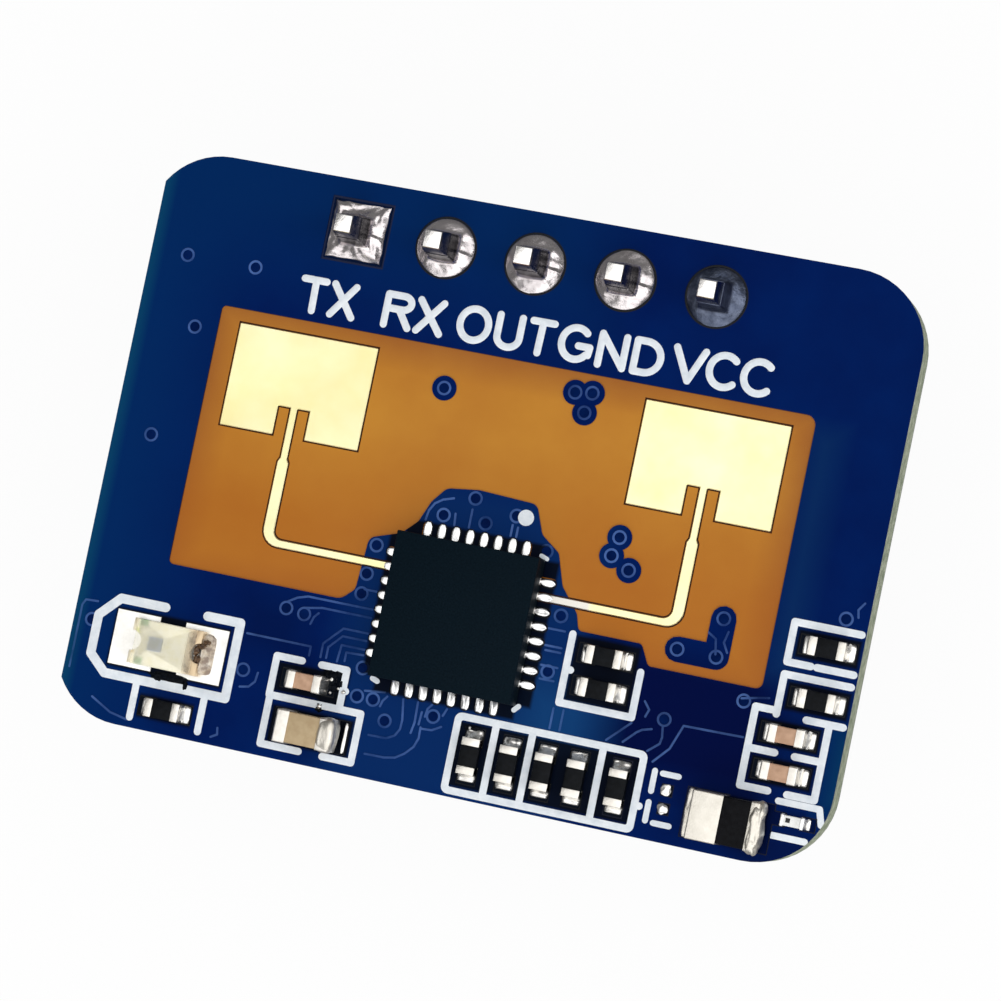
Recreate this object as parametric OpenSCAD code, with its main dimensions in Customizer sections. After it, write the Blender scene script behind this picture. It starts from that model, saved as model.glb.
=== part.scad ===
/* [Board] */
// Width of the board along the header, between its long ends
board_w = 21.67; // [21.4:0.01:26]
// Depth of the board, from the header edge to the sensor edge
board_d = 16; // [15:0.1:20]
// Thickness of the finished board
board_t = 1.2; // [0.8:0.1:2]
// Radius of the board's corners
corner_r = 2.1; // [0.5:0.1:2.4]
// Strip that was snapped off the left edge, inside the corner arcs
trim_w = 0.33; // [0.1:0.01:0.6]
// Thickness of the copper and of the varnish beside it
skin_t = 0.04; // [0.03:0.005:0.06]
// Bare strip between a land and the varnish round it
mask_gap = 0.03; // [0.01:0.005:0.05]
// Height of a buried track or ring as it shows through the varnish
track_rise = 0.015; // [0.005:0.005:0.03]
// Width of a buried track's edge as it shows through the varnish
track_w = 0.06; // [0.05:0.01:0.1]
// Radius of the ring that a buried via shows through the varnish
via_r = 0.2; // [0.15:0.01:0.25]

/* [Header] */
// Number of pins
pin_count = 5; // [5:1:5]
// Distance between two pins
pin_pitch = 2.54; // [2:0.01:2.6]
// Side of the square pins
pin_w = 0.64; // [0.4:0.01:0.68]
// Distance from the header's pins to the board's edge
header_margin = 1.42; // [1.27:0.01:2]
// Finished bore of the plated holes
hole_d = 1; // [0.98:0.01:1.1]
// Wall of the plating in a hole
plating_t = 0.03; // [0.02:0.005:0.05]
// Diameter of a round pad
pad_d = 1.62; // [1.4:0.01:1.8]
// Side of the square pad that marks the first pin
square_pad = 1.68; // [1.4:0.01:1.8]
// Width of the plastic strip
strip_w = 2.54; // [2:0.01:2.6]
// Height of the plastic strip
strip_h = 2.5; // [1.5:0.1:4]
// Cut corner between two places of the strip
strip_notch = 0.5; // [0.3:0.05:0.8]
// Length of the pins below the strip
pin_below = 6; // [3:0.1:12]
// Length of the pins above the board
pin_above = 1.6; // [1.2:0.1:3]
// Length of a pin's tapered lower tip
pin_taper = 0.4; // [0.2:0.05:0.6]
// Length of the chamfer round a pin's cut upper end
pin_chamfer = 0.07; // [0.03:0.01:0.15]
// Height of the solder on a pin
pin_solder_h = 0.95; // [0.4:0.05:1.1]

/* [Radar chip] */
// Side of the chip's moulded body
chip_w = 4; // [3.9:0.05:4.2]
// Height of the chip's moulded body
chip_h = 0.8; // [0.7:0.05:1]
// Distance between two terminals
chip_pitch = 0.4; // [0.38:0.01:0.42]
// Width of a terminal
terminal_w = 0.2; // [0.15:0.01:0.24]
// Length of a terminal under the body
terminal_l = 0.4; // [0.3:0.01:0.5]
// Height of a terminal on the body's side
terminal_h = 0.2; // [0.1:0.01:0.25]
// Side of the heat pad under the body
heat_pad = 2.6; // [2:0.1:2.8]
// Length of a land beyond the body
toe = 0.4; // [0.25:0.01:0.5]
// Thickness of the solder under the body
chip_lift = 0.05; // [0.02:0.01:0.1]

/* [Antennas] */
// Width of a patch
patch_w = 4.01; // [3.6:0.01:4.1]
// Depth of a patch
patch_d = 2.86; // [2.4:0.01:2.9]
// Distance from the chip's middle to a patch's middle
patch_out = 5.81; // [5.6:0.01:5.9]
// Distance from the feed line to the patch's near edge
patch_rise = 2.91; // [2.8:0.01:3]
// Width of each slot beside the feed
slot_w = 0.37; // [0.2:0.01:0.5]
// Depth of each slot beside the feed
slot_d = 0.81; // [0.5:0.01:1.2]
// Width of the feed where it enters the patch
feed_thin = 0.19; // [0.1:0.01:0.25]
// Width of the feed below its taper
feed_wide = 0.31; // [0.25:0.01:0.4]
// Width of the feed beside the chip
feed_run = 0.205; // [0.15:0.005:0.24]
// Length of the thin feed outside the patch
feed_neck = 0.58; // [0.4:0.01:0.8]
// Length of the taper between the two widths
feed_taper = 0.12; // [0.05:0.01:0.2]
// Radius of the feed's bend, at its middle
feed_bend = 0.36; // [0.3:0.01:0.6]
// Bare laminate beside the patches
window_side = 0.62; // [0.4:0.01:0.65]
// Bare laminate beyond the patches
window_far = 0.39; // [0.2:0.01:0.6]
// Bare laminate below the left feed
window_near = 1.13; // [1:0.01:1.2]
// Step down of the bare laminate on the right side
window_step = 0.11; // [0.05:0.01:0.2]

/* [Small chip parts] */
// Length, width and height of the small resistors
resistor_size = [1, 0.5, 0.35]; // [0.2:0.01:1.2]
// Length of a resistor's metal end
resistor_band = 0.22; // [0.15:0.01:0.3]
// Length, width and height of the small capacitors
capacitor_size = [1, 0.5, 0.5]; // [0.2:0.01:1.2]
// Length of a small capacitor's metal end
capacitor_band = 0.24; // [0.15:0.01:0.3]
// Length, width and height of the large capacitors
large_capacitor_size = [1.6, 0.9, 0.8]; // [0.5:0.01:1.8]
// Length of a large capacitor's metal end
large_capacitor_band = 0.36; // [0.2:0.01:0.5]
// Thickness of the metal on a part's end
end_t = 0.03; // [0.02:0.005:0.04]
// Length of a land and its solder beyond a part's end
land_reach = 0.26; // [0.2:0.01:0.3]
// Share of a part's height that the solder climbs
climb = 0.7; // [0.4:0.05:0.9]
// Distance between the two resistors beside the chip
pair_pitch = 0.89; // [0.85:0.01:0.95]
// Rounding of the capacitors' metal ends
end_round = 0.05; // [0.02:0.01:0.1]

/* [Large chip parts] */
// Length, width and height of the ferrite bead
bead_size = [1.84, 1.32, 0.85]; // [0.6:0.01:2]
// Length of the bead's broad end, on the left
bead_broad_band = 0.84; // [0.5:0.01:0.9]
// Length of the bead's narrow end, on the right
bead_narrow_band = 0.24; // [0.15:0.01:0.4]
// Length, width and height of the marked chip in the corner
filter_size = [0.66, 0.34, 0.3]; // [0.2:0.01:0.7]
// Length of the marked chip's metal end
filter_band = 0.1; // [0.05:0.01:0.15]

/* [Light sensor] */
// Length of the sensor's carrier
sensor_l = 2; // [1.8:0.01:2.1]
// Width of the sensor
sensor_w = 1.25; // [1.1:0.01:1.3]
// Height of the carrier
carrier_h = 0.3; // [0.2:0.01:0.4]
// Height of the clear block on the carrier
lens_h = 0.5; // [0.4:0.01:0.6]
// Length of the clear block at its foot
lens_foot = 1.66; // [1.5:0.01:1.7]
// Length of the clear block at its top
lens_top = 1.5; // [1.3:0.01:1.6]
// Radius of the half-round notch in each end
notch_r = 0.28; // [0.2:0.01:0.35]
// Side of the light-sensitive chip
die_w = 0.38; // [0.3:0.01:0.5]
// Height of the light-sensitive chip
die_h = 0.14; // [0.1:0.01:0.2]
// Length of a sensor land
sensor_land_l = 1.26; // [1.1:0.01:1.3]
// Width of a sensor land
sensor_land_w = 1.52; // [1.3:0.01:1.6]
// Bare stretch between the two sensor lands
sensor_land_gap = 0.75; // [0.7:0.01:0.9]

/* [Parts on the back] */
// Length and width of the crystal
crystal_size = [3.2, 2.5]; // [2:0.1:3.4]
// Height of the crystal's ceramic base
crystal_base_h = 0.4; // [0.3:0.05:0.5]
// Height of the crystal's metal can
crystal_can_h = 0.3; // [0.2:0.05:0.4]
// Rim of the base round the can
crystal_rim = 0.15; // [0.1:0.01:0.2]
// Radius of the can's corners
can_corner_r = 0.3; // [0.1:0.05:0.5]
// Length, width and height of the regulator's body
regulator_size = [2.9, 1.6, 1.1]; // [1:0.1:3]
// Distance between two regulator leads
lead_pitch = 0.95; // [0.9:0.01:1]
// Width of a regulator lead
lead_w = 0.4; // [0.3:0.01:0.45]
// Thickness of a regulator lead
lead_t = 0.15; // [0.1:0.01:0.18]
// Reach of a lead beyond the body
lead_reach = 0.6; // [0.5:0.01:0.7]
// Gap between the regulator's body and the board
regulator_lift = 0.08; // [0.05:0.01:0.15]
// Thickness of the solder under a lead's foot
foot_solder_t = 0.03; // [0.02:0.01:0.05]

/* [Places] */
// Middle of the radar chip, right of the header's middle and from the sensor edge
chip_place = [-0.04, 4.77]; // [-1:0.01:6]
// Middle of the light sensor, from the left edge and the sensor edge
sensor_place = [2.865, 2.38]; // [1:0.005:6]
// Middle of the resistor below the light sensor, from the left edge and the sensor edge
first_resistor_place = [3.14, 0.66]; // [0.5:0.01:6]
// Middle of the first of two resistors beside the chip, from the chip's middle
pair_place = [4.14, -0.24]; // [-2:0.01:6]
// Distance of the row's resistors from the right edge
row_places = [9.825, 8.765, 7.775, 6.885, 5.715];
// Distance from the sensor edge to the row of resistors
row_from_edge = 1.19; // [1.15:0.01:1.25]
// Distance of the two outer resistors from the right edge
outer_resistor_from_side = 0.92; // [0.9:0.01:1.2]
// Distances of the two outer resistors from the sensor edge
outer_resistor_from_edge = [5.93, 4.52]; // [4:0.01:8]
// Middle of the small capacitor beside the chip, left of its middle and from the sensor edge
small_capacitor_place = [3.82, 2.23]; // [1:0.01:6]
// Middle of the large capacitor, left of the chip's middle and from the sensor edge
large_capacitor_place = [3.49, 0.95]; // [0.5:0.01:6]
// Distance of the two outer capacitors from the right edge
outer_capacitor_from_side = 1.5; // [1.4:0.01:2]
// Distances of the two outer capacitors from the sensor edge
outer_capacitor_from_edge = [3.47, 2.47]; // [2:0.01:4]
// Middle of the ferrite bead, from the right edge and the sensor edge
bead_place = [2.65, 0.96]; // [0.5:0.01:6]
// Middle of the marked chip, from the right edge and the sensor edge
filter_place = [0.92, 1.29]; // [0.5:0.01:6]
// Distance of the two empty lands from the right edge
spare_from_side = 4.39; // [4:0.01:5]
// Distances of the two empty lands from the sensor edge
spare_from_edge = [1.4, 0.9]; // [0.5:0.01:2]
// Side of an empty land
spare_land = 0.28; // [0.2:0.01:0.35]
// Middle of the crystal, left of the header's middle and from the sensor edge
crystal_place = [4.6, 6.2]; // [2:0.1:8]
// Distance from the crystal to the capacitors beside it
crystal_capacitor_out = 2.6; // [2.4:0.1:3]
// Middle of the regulator, right of the header's middle and from the sensor edge
regulator_place = [5.6, 6.2]; // [2:0.1:8]
// Distance from the regulator to the capacitors beside it
regulator_capacitor_out = 2.6; // [2.4:0.1:3]

/* [Print] */
// Width of a printed line
print_w = 0.2; // [0.12:0.01:0.22]
// Width of the bold lines round the light sensor
print_bold = 0.26; // [0.2:0.01:0.28]
// Thickness of the print
print_t = 0.02; // [0.01:0.005:0.03]
// Gap between a land's end and the middle of a printed line
print_gap = 0.25; // [0.24:0.01:0.3]
// Distance from a small part's middle line to the printed line beside it
print_side = 0.54; // [0.52:0.01:0.6]

/* [Hidden] */
$fn = 48;
arc_steps = 6;
back_z = strip_h;
front_z = strip_h + board_t;
left_x = -board_w / 2;
right_x = board_w / 2;
far_y = header_margin;
near_y = header_margin - board_d;
chip_at = [chip_place.x, near_y + chip_place.y];
terminals_a_side = 8;
pin_x = [for (i = [0 : pin_count - 1]) (i - (pin_count - 1) / 2) * pin_pitch];
terminal_y = [for (i = [0 : terminals_a_side - 1]) (i - (terminals_a_side - 1) / 2) * chip_pitch];
// The feeds leave from the second terminal below the chip's far corners
feed_y = terminal_y[terminals_a_side - 2];
land_in = chip_w / 2 - terminal_l;
land_out = chip_w / 2 + toe;
land_w = terminal_w + 0.02;
sensor_at = [left_x + sensor_place.x, near_y + sensor_place.y];
bead_at = [right_x - bead_place.x, near_y + bead_place.y, 0];
filter_at = [right_x - filter_place.x, near_y + filter_place.y, 0];
crystal_at = [-crystal_place.x, near_y + crystal_place.y];
regulator_at = [regulator_place.x, near_y + regulator_place.y];
// Half of what a small part takes up with its lands
resistor_half = resistor_size.x / 2 + land_reach;
capacitor_half = capacitor_size.x / 2 + land_reach;
large_half = large_capacitor_size.x / 2 + land_reach;

// Middle and turn of each small part on the front
resistor_at = concat(
    [[left_x + first_resistor_place.x, near_y + first_resistor_place.y, 0]],
    [for (i = [0, 1]) [chip_at.x + pair_place.x, chip_at.y + pair_place.y - i * pair_pitch, 0]],
    [for (x = row_places) [right_x - x, near_y + row_from_edge, 90]],
    [for (y = outer_resistor_from_edge) [right_x - outer_resistor_from_side, near_y + y, 0]]);
capacitor_at = concat(
    [[chip_at.x - small_capacitor_place.x, near_y + small_capacitor_place.y, 0]],
    [[chip_at.x - large_capacitor_place.x, near_y + large_capacitor_place.y, 0]],
    [for (y = outer_capacitor_from_edge) [right_x - outer_capacitor_from_side, near_y + y, 0]]);
small_capacitors = [0, 2, 3];
// Middle and turn of each capacitor on the back, the last two being large
back_capacitor_at = [
    [crystal_at.x - crystal_capacitor_out, crystal_at.y, 90],
    [crystal_at.x + crystal_capacitor_out, crystal_at.y, 90],
    [regulator_at.x, regulator_at.y - regulator_capacitor_out, 0],
    [regulator_at.x, regulator_at.y + regulator_capacitor_out, 0]];
spare_pad_at = [for (y = spare_from_edge) [right_x - spare_from_side, near_y + y]];
spare_solder_h = 0.06;

// Plane geometry

function unit(v) = v / norm(v);
function polar(r, a) = r * [cos(a), sin(a)];
function heading(a, b) = atan2(b.y - a.y, b.x - a.x);
function turn(h0, h1) = (h1 - h0 + 540) % 360 - 180;
function reverse(p) = [for (i = [len(p) - 1 : -1 : 0]) p[i]];

// Arc that rounds the corner b of an outline between a and c with the radius r
function corner_arc(a, b, c, r) = let (
    u = unit(a - b),
    v = unit(c - b),
    half = acos(u * v) / 2,
    middle = b + unit(u + v) * r / sin(half),
    start = heading(middle, b + u * r / tan(half)),
    way = sign(v.x * u.y - v.y * u.x))
    r == 0 ? [b] : [for (i = [0 : arc_steps]) middle + polar(r, start + way * (180 - 2 * half) * i / arc_steps)];

// Closed outline through corners given as [x, y, radius]
function outline(p) = [for (i = [0 : len(p) - 1]) let (
    n = len(p), a = p[(i + n - 1) % n], b = p[i], c = p[(i + 1) % n])
    each corner_arc([a.x, a.y], [b.x, b.y], [c.x, c.y], b.z)];

// Left side of a line of width w along the points p, with round outer corners and a round far end
function left_side(p, w) = [for (i = [1 : len(p) - 1]) let (
    h0 = heading(p[i - 1], p[i]),
    t = i == len(p) - 1 ? -180 : turn(h0, heading(p[i], p[i + 1])))
    each (t > 0 ? [p[i] + polar(w / 2 / cos(t / 2), h0 + t / 2 + 90)]
        : [for (k = [0 : arc_steps]) p[i] + polar(w / 2, h0 + 90 + t * k / arc_steps)])];

// Line of width w with round ends along the points p
module line(p, w) polygon(concat(left_side(p, w), left_side(reverse(p), w)));

module box_outline(w, d) translate([-w / 2, -d / 2]) square([w, d]);

// Places

// Puts its children at a place given as [x, y] or [x, y, turn]
module put(place) translate([place.x, place.y, 0]) rotate(len(place) > 2 ? place.z : 0) children();

module on_front() translate([0, 0, front_z]) children();

// On the back face z points away from the board
module on_back() translate([0, 0, back_z]) mirror([0, 0, 1]) children();

// Board

module board_outline() {
    difference() {
        translate([left_x - trim_w, near_y]) union() {
            translate([corner_r, 0]) square([board_w + trim_w - 2 * corner_r, board_d]);
            translate([0, corner_r]) square([board_w + trim_w, board_d - 2 * corner_r]);
            for (x = [corner_r, board_w + trim_w - corner_r], y = [corner_r, board_d - corner_r])
                translate([x, y]) circle(corner_r);
        }
        translate([left_x - trim_w - 1, near_y - 1]) square([trim_w + 1, board_d + 2]);
    }
}

module pad_outline(i, grow = 0) {
    translate([pin_x[i], 0]) {
        if (i == 0) box_outline(square_pad + 2 * grow, square_pad + 2 * grow);
        else circle(pad_d / 2 + grow);
    }
}

module laminate() color([0.72, 0.47, 0.13])
    translate([0, 0, back_z + skin_t]) linear_extrude(board_t - 2 * skin_t) difference() {
        board_outline();
        for (x = pin_x) translate([x, 0]) circle(hole_d / 2 + plating_t);
    }

module hole_plating() color([0.83, 0.83, 0.8])
    for (i = [0 : pin_count - 1]) difference() {
        union() {
            translate([0, 0, back_z]) linear_extrude(skin_t) pad_outline(i);
            translate([0, 0, front_z - skin_t]) linear_extrude(skin_t) pad_outline(i);
            translate([pin_x[i], 0, back_z]) cylinder(h = board_t, r = hole_d / 2 + plating_t);
        }
        translate([pin_x[i], 0, back_z - 1]) cylinder(h = board_t + 2, r = hole_d / 2);
    }

// Lands

module end_lands(size, band, band2, grow = 0) {
    for (side = [-1, 1]) {
        b = side < 0 ? band : band2;
        translate([side * (size.x / 2 + (land_reach - b) / 2), 0])
            box_outline(land_reach + b + 2 * grow, size.y + 2 * grow);
    }
}

module sensor_lands(grow = 0)
    for (side = [-1, 1])
        translate([side * (sensor_land_gap + sensor_land_l) / 2, 0])
            box_outline(sensor_land_l + 2 * grow, sensor_land_w + 2 * grow);

// Lands of one side of the chip, or of the two feeds alone
module side_lands(grow, feeds)
    for (i = [0 : terminals_a_side - 1])
        if ((i == terminals_a_side - 2) == feeds)
            translate([0, terminal_y[i]])
                line([[land_in + land_w / 2, 0], [land_out - land_w / 2, 0]], land_w + 2 * grow);

module chip_lands(grow = 0) {
    box_outline(heat_pad + 2 * grow, heat_pad + 2 * grow);
    side_lands(grow, false);
    mirror([1, 0]) side_lands(grow, false);
    for (a = [90, 270]) rotate(a) {
        side_lands(grow, false);
        side_lands(grow, true);
    }
}

module front_land_outlines(grow = 0) {
    put(chip_at) chip_lands(grow);
    put(sensor_at) sensor_lands(grow);
    for (p = resistor_at) put(p) end_lands(resistor_size, resistor_band, resistor_band, grow);
    for (i = small_capacitors) put(capacitor_at[i]) end_lands(capacitor_size, capacitor_band, capacitor_band, grow);
    put(capacitor_at[1]) end_lands(large_capacitor_size, large_capacitor_band, large_capacitor_band, grow);
    put(bead_at) end_lands(bead_size, bead_broad_band, bead_narrow_band, grow);
    put(filter_at) end_lands(filter_size, filter_band, filter_band, grow);
    for (p = spare_pad_at) put(p) box_outline(spare_land + 2 * grow, spare_land + 2 * grow);
}

module crystal_lands(grow = 0)
    for (sx = [-1, 1], sy = [-1, 1])
        translate([sx * (crystal_size.x / 2 - 0.5), sy * (crystal_size.y / 2 - 0.4)])
            box_outline(1.2 + 2 * grow, 1 + 2 * grow);

// Each lead's middle, three along one long side and two along the other
lead_at = [[-lead_pitch, -1], [0, -1], [lead_pitch, -1], [-lead_pitch, 1], [lead_pitch, 1]];

module lead_lands(grow = 0)
    for (p = lead_at)
        translate([p.x, p.y * (regulator_size.y / 2 + lead_reach - 0.15)])
            box_outline(lead_w + 0.1 + 2 * grow, 0.7 + 2 * grow);

module back_land_outlines(grow = 0) {
    put(crystal_at) crystal_lands(grow);
    put(regulator_at) lead_lands(grow);
    for (i = [0, 1]) put(back_capacitor_at[i]) end_lands(capacitor_size, capacitor_band, capacitor_band, grow);
    for (i = [2, 3])
        put(back_capacitor_at[i]) end_lands(large_capacitor_size, large_capacitor_band, large_capacitor_band, grow);
}

module front_lands() color([0.86, 0.84, 0.76])
    translate([0, 0, front_z - skin_t]) linear_extrude(skin_t) front_land_outlines();

module back_lands() color([0.86, 0.84, 0.76])
    translate([0, 0, back_z]) linear_extrude(skin_t) back_land_outlines();

// Antennas: an inset-fed patch, its line bending to the chip

module antenna_outline() {
    bend_in = feed_bend - feed_run / 2;
    bend_out = feed_bend + feed_run / 2;
    neck_y = patch_rise - feed_neck;
    taper_y = neck_y - feed_taper;
    left = patch_out - patch_w / 2;
    right = patch_out + patch_w / 2;
    thin_l = patch_out - feed_thin / 2;
    thin_r = patch_out + feed_thin / 2;
    wide_l = patch_out - feed_wide / 2;
    wide_r = patch_out + feed_wide / 2;
    top = patch_rise + patch_d;
    slot_y = patch_rise + slot_d;
    polygon(outline([
        [land_in, -feed_run / 2, 0], [wide_r, -feed_run / 2, bend_out], [wide_r, taper_y, 0],
        [thin_r, neck_y, 0], [thin_r, slot_y, 0], [thin_r + slot_w, slot_y, 0],
        [thin_r + slot_w, patch_rise, 0], [right, patch_rise, 0], [right, top, 0],
        [left, top, 0], [left, patch_rise, 0], [thin_l - slot_w, patch_rise, 0],
        [thin_l - slot_w, slot_y, 0], [thin_l, slot_y, 0], [thin_l, neck_y, 0],
        [wide_l, taper_y, 0], [wide_l, feed_run / 2, bend_in], [land_in, feed_run / 2, 0]]));
}

module antenna()
    translate([chip_at.x, chip_at.y + feed_y, front_z - skin_t]) linear_extrude(skin_t) antenna_outline();

module transmit_antenna() color([1, 0.96, 0.75])
    translate([2 * chip_at.x, 0, 0]) mirror([1, 0, 0]) antenna();

module receive_antenna() color([1, 0.96, 0.75]) antenna();

// Bare window round the antennas, from the chip's middle, its lower edge stepping round the chip
module window_outline() {
    side = patch_out + patch_w / 2 + window_side;
    far = feed_y + patch_rise + patch_d + window_far;
    near_l = feed_y - window_near;
    near_r = near_l - window_step;
    polygon(outline([
        [-side, near_l, 0.15], [-3.4, near_l, 0.4], [-3.05, 0.2, 0.25], [-2.96, 1.66, 0.25],
        [-2.1, 1.95, 0.3], [-1.7, 2.35, 0.25], [-1.45, 2.95, 0.4], [-1.1, 3.38, 0.3],
        [-0.2, 3.5, 0.5], [1.45, 3.42, 0.25], [1.75, 2.65, 0.3], [2.3, 2.25, 0.2],
        [2.58, 1.4, 0.3], [3.12, 0.75, 0.3], [3.25, 0.31, 0.15], [5.02, 0.31, 0.15],
        [5.3, near_r, 0.15], [side, near_r, 0.2], [side, far, 0.3], [-side, far, 0.15]]));
}

// Varnish that covers vias inside the window, from the chip's middle
via_island_at = [[1.85, 6.59], [2.32, 6.65], [2.21, 6.09], [3.85, 2.98], [3.73, 2.46], [4.27, 2.16]];
single_island_at = [-1.75, 6.04];
angle_island = [[7.06, 1.4], [7.06, 0.36], [5.99, 0.36]];
island_r = 0.34;

module islands() {
    for (p = via_island_at) translate(p) circle(island_r);
    translate(single_island_at) circle(island_r);
    line(angle_island, 2 * island_r);
}

// Varnish

// Vias under the varnish, from the chip's middle
near_via_at = concat(
    [single_island_at], via_island_at, [angle_island[0], angle_island[1], angle_island[2]],
    [[-1.04, 2.65], [-0.26, 3.26], [0.15, 2.65], [0.96, 3.01], [1.96, 2.23], [-2.71, 1.49],
     [-2.82, 0.68], [-2.85, 0.12], [-4.85, -0.68], [-4.32, -0.74], [-1.49, -3.13], [-0.19, -2.74],
     [-2.39, -2.63], [-1.93, -2.63], [-2.39, -1.85], [2.71, 0.61], [2.66, -0.93], [6.03, -1.54]]);
// Vias under the varnish, from the board's left or right edge and its sensor edge
left_via_at = [[1.08, 13.11], [3.08, 13.11], [1.71, 11.19], [1.11, 8.03], [0.53, 2.7], [5.1, 2.2]];
right_via_at = [[2.85, 4.14], [0.61, 6.8]];
// Tracks under the varnish, from the chip's middle
near_tracks = [
    [[-4.85, -0.5], [-4.6, -0.34], [-4.3, -0.25], [-2.44, -0.25]],
    [[-4.32, -0.57], [-4.1, -0.53], [-3.85, -0.48], [-2.44, -0.48]],
    [[-3.62, -1.8], [-3.62, -1.42], [-3.14, -0.91], [-2.44, -0.91]],
    [[-3.14, -1.82], [-3.1, -1.36], [-2.44, -1.36]],
    [[-1.51, 2.43], [-1.47, 2.7], [-1.34, 2.92], [-1.14, 3.06], [-0.85, 3.15]],
    [[-0.69, 2.43], [-0.72, 2.75]],
    [[-0.28, 2.45], [-0.28, 2.95]],
    [[0.9, 2.45], [0.9, 2.75]],
    [[-1.1, -2.45], [-1.01, -3], [-1.02, -3.26], [-1.13, -3.46], [-1.35, -3.58], [-1.85, -3.59]],
    [[-0.68, -2.45], [-0.66, -3], [-0.71, -3.3]],
    [[-0.47, -3.1], [-0.46, -3.4], [-0.55, -3.65], [-0.76, -3.88], [-1, -4.04], [-1.3, -4.1], [-1.85, -4.11]],
    [[4.6, -2.39], [5.18, -1.81]],
    [[5.05, -2.35], [5.36, -2.03], [5.5, -1.93], [5.75, -1.86]],
    [[6.03, -1.74], [6.07, -2.02], [6.04, -2.2], [5.75, -2.45]],
    [[5.95, -2.7], [6.33, -2.27], [6.58, -1.6], [8.2, -1.57]],
    [[2.44, 0.22], [2.9, 0.22]],
    [[2.44, -0.24], [2.9, -0.24]],
    [[2.44, -0.78], [2.9, -0.78]],
    [[3.02, -1.85], [3.02, -2.4]],
    [[3.3, -1.85], [3.3, -2.4]],
    [[-2.79, 0.25], [-2.44, 0.25]],
    [[-2.2, -2.44], [-1.95, -2.41], [-1.64, -2.37]],
    [[-1.7, -2.77], [-1.66, -2.62], [-1.55, -2.47]],
    [[-0.52, -2.69], [-0.54, -3.03]],
    [[-0.41, -2.79], [-0.38, -2.57], [-0.28, -2.44]],
    [[0.07, -2.67], [0.15, -2.47]],
    [[-0.44, -3.13], [-0.15, -3.11], [0.09, -2.97]],
    [[-4.09, -0.97], [-4.03, -0.77], [-3.92, -0.64]],
    [[-3.46, -1.79], [-3.46, -1.49], [-3.12, -1.12], [-2.44, -1.12]],
    [[-2.93, -1.77], [-2.93, -1.53], [-2.44, -1.51]],
    [[1.06, 2.45], [1.06, 2.71]],
    [[2.48, -0.37], [2.9, -0.37]],
    [[2.48, -1.15], [2.87, -1.15]],
    [[5.42, -1.17], [5.58, -1.37], [5.51, -1.57]],
    [[6.51, 1.33], [6.71, 0.98], [6.96, 0.83], [7.03, 0.43]],
    [[7.26, 1.08], [7.19, 0.78], [7.33, 0.53]]];
// Tracks under the varnish, from the board's left edge and its sensor edge
left_tracks = [
    [[0.17, 1.3], [0.17, 3.05], [0.25, 3.2], [0.6, 3.22]],
    [[5, 3.2], [6.85, 3.2], [6.85, 2.95]],
    [[5.1, 1.73], [5.35, 1.78], [5.5, 1.95], [5.53, 2.2]],
    [[4.58, 0.22], [4.75, 0.32], [4.72, 0.5]],
    [[1, 0.62], [1.6, 0.3], [2.1, 0.2]]];
// Tracks under the varnish, from the board's right edge and its sensor edge
right_tracks = [
    [[2.92, 4.2], [2.47, 4.3], [2.2, 4.35]],
    [[0.2, 7.3], [0.34, 7.1], [0.3, 6.9]]];

module ring(outer) difference() {
    circle(outer);
    circle(outer - track_w);
}

module track_outlines() {
    put(chip_at) {
        for (p = near_via_at) translate(p) ring(via_r);
        for (p = near_tracks) line(p, track_w);
    }
    translate([left_x, near_y]) {
        for (p = left_via_at) translate(p) ring(via_r);
        for (p = left_tracks) line(p, track_w);
    }
    translate([right_x, near_y]) mirror([1, 0]) {
        for (p = right_via_at) translate(p) ring(via_r);
        for (p = right_tracks) line(p, track_w);
    }
}

module front_mask_outline() difference() {
    board_outline();
    put(chip_at) difference() {
        window_outline();
        islands();
    }
    // The feeds lie bare up to their ends under the chip
    for (side = [0, 1])
        translate([chip_at.x, chip_at.y + feed_y - feed_run / 2 - mask_gap]) mirror([side, 0])
            translate([land_in - mask_gap, 0]) square([chip_w - land_in, feed_run + 2 * mask_gap]);
    front_land_outlines(mask_gap);
    for (i = [0 : pin_count - 1]) pad_outline(i, 2 * mask_gap);
}

module front_solder_mask() color([0.02, 0.12, 0.36])
    translate([0, 0, front_z - skin_t]) {
        linear_extrude(skin_t) front_mask_outline();
        linear_extrude(skin_t + track_rise) intersection() {
            front_mask_outline();
            difference() {
                track_outlines();
                print_outlines();
            }
        }
    }

module back_solder_mask() color([0.02, 0.12, 0.36])
    translate([0, 0, back_z]) linear_extrude(skin_t) difference() {
        board_outline();
        back_land_outlines(mask_gap);
        for (i = [0 : pin_count - 1]) pad_outline(i, 2 * mask_gap);
    }

// Print

// Box whose corners are rounded with the radius r
module soft_box_outline(w, d, r) polygon(outline([
    [-w / 2, -d / 2, r], [w / 2, -d / 2, r], [w / 2, d / 2, r], [-w / 2, d / 2, r]]));

// Closed frame, its middle line x and y away from its centre
module frame(x, y, w) difference() {
    soft_box_outline(2 * x + w, 2 * y + w, w);
    soft_box_outline(2 * x - w, 2 * y - w, w / 4);
}

module sensor_frame() {
    x = sensor_land_gap / 2 + sensor_land_l;
    y = sensor_land_w / 2 + 0.29;
    line([[-0.3, y], [-x + 0.02, y], [-x - 0.53, y - 0.56], [-x - 0.53, -y + 0.46],
        [-x - 0.03, -y], [x + 0.26, -y], [x + 0.26, y], [0.93, y]], print_bold);
}

module first_resistor_bars(at)
    for (x = [-0.96, 1.04])
        line([[at.x + x, sensor_at.y - sensor_land_w / 2 - 0.29], [at.x + x, at.y - 0.38]], print_w);

module pair_frame() {
    a = resistor_at[1];
    x = resistor_half + print_gap;
    low = resistor_at[2].y - print_side;
    line([[a.x - x, a.y + 0.44], [a.x - x, low], [a.x + x, low], [a.x + x, a.y - 0.2]], print_w);
    translate([a.x - x + 0.13, a.y - 0.52]) circle(print_w / 2);
}

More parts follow.
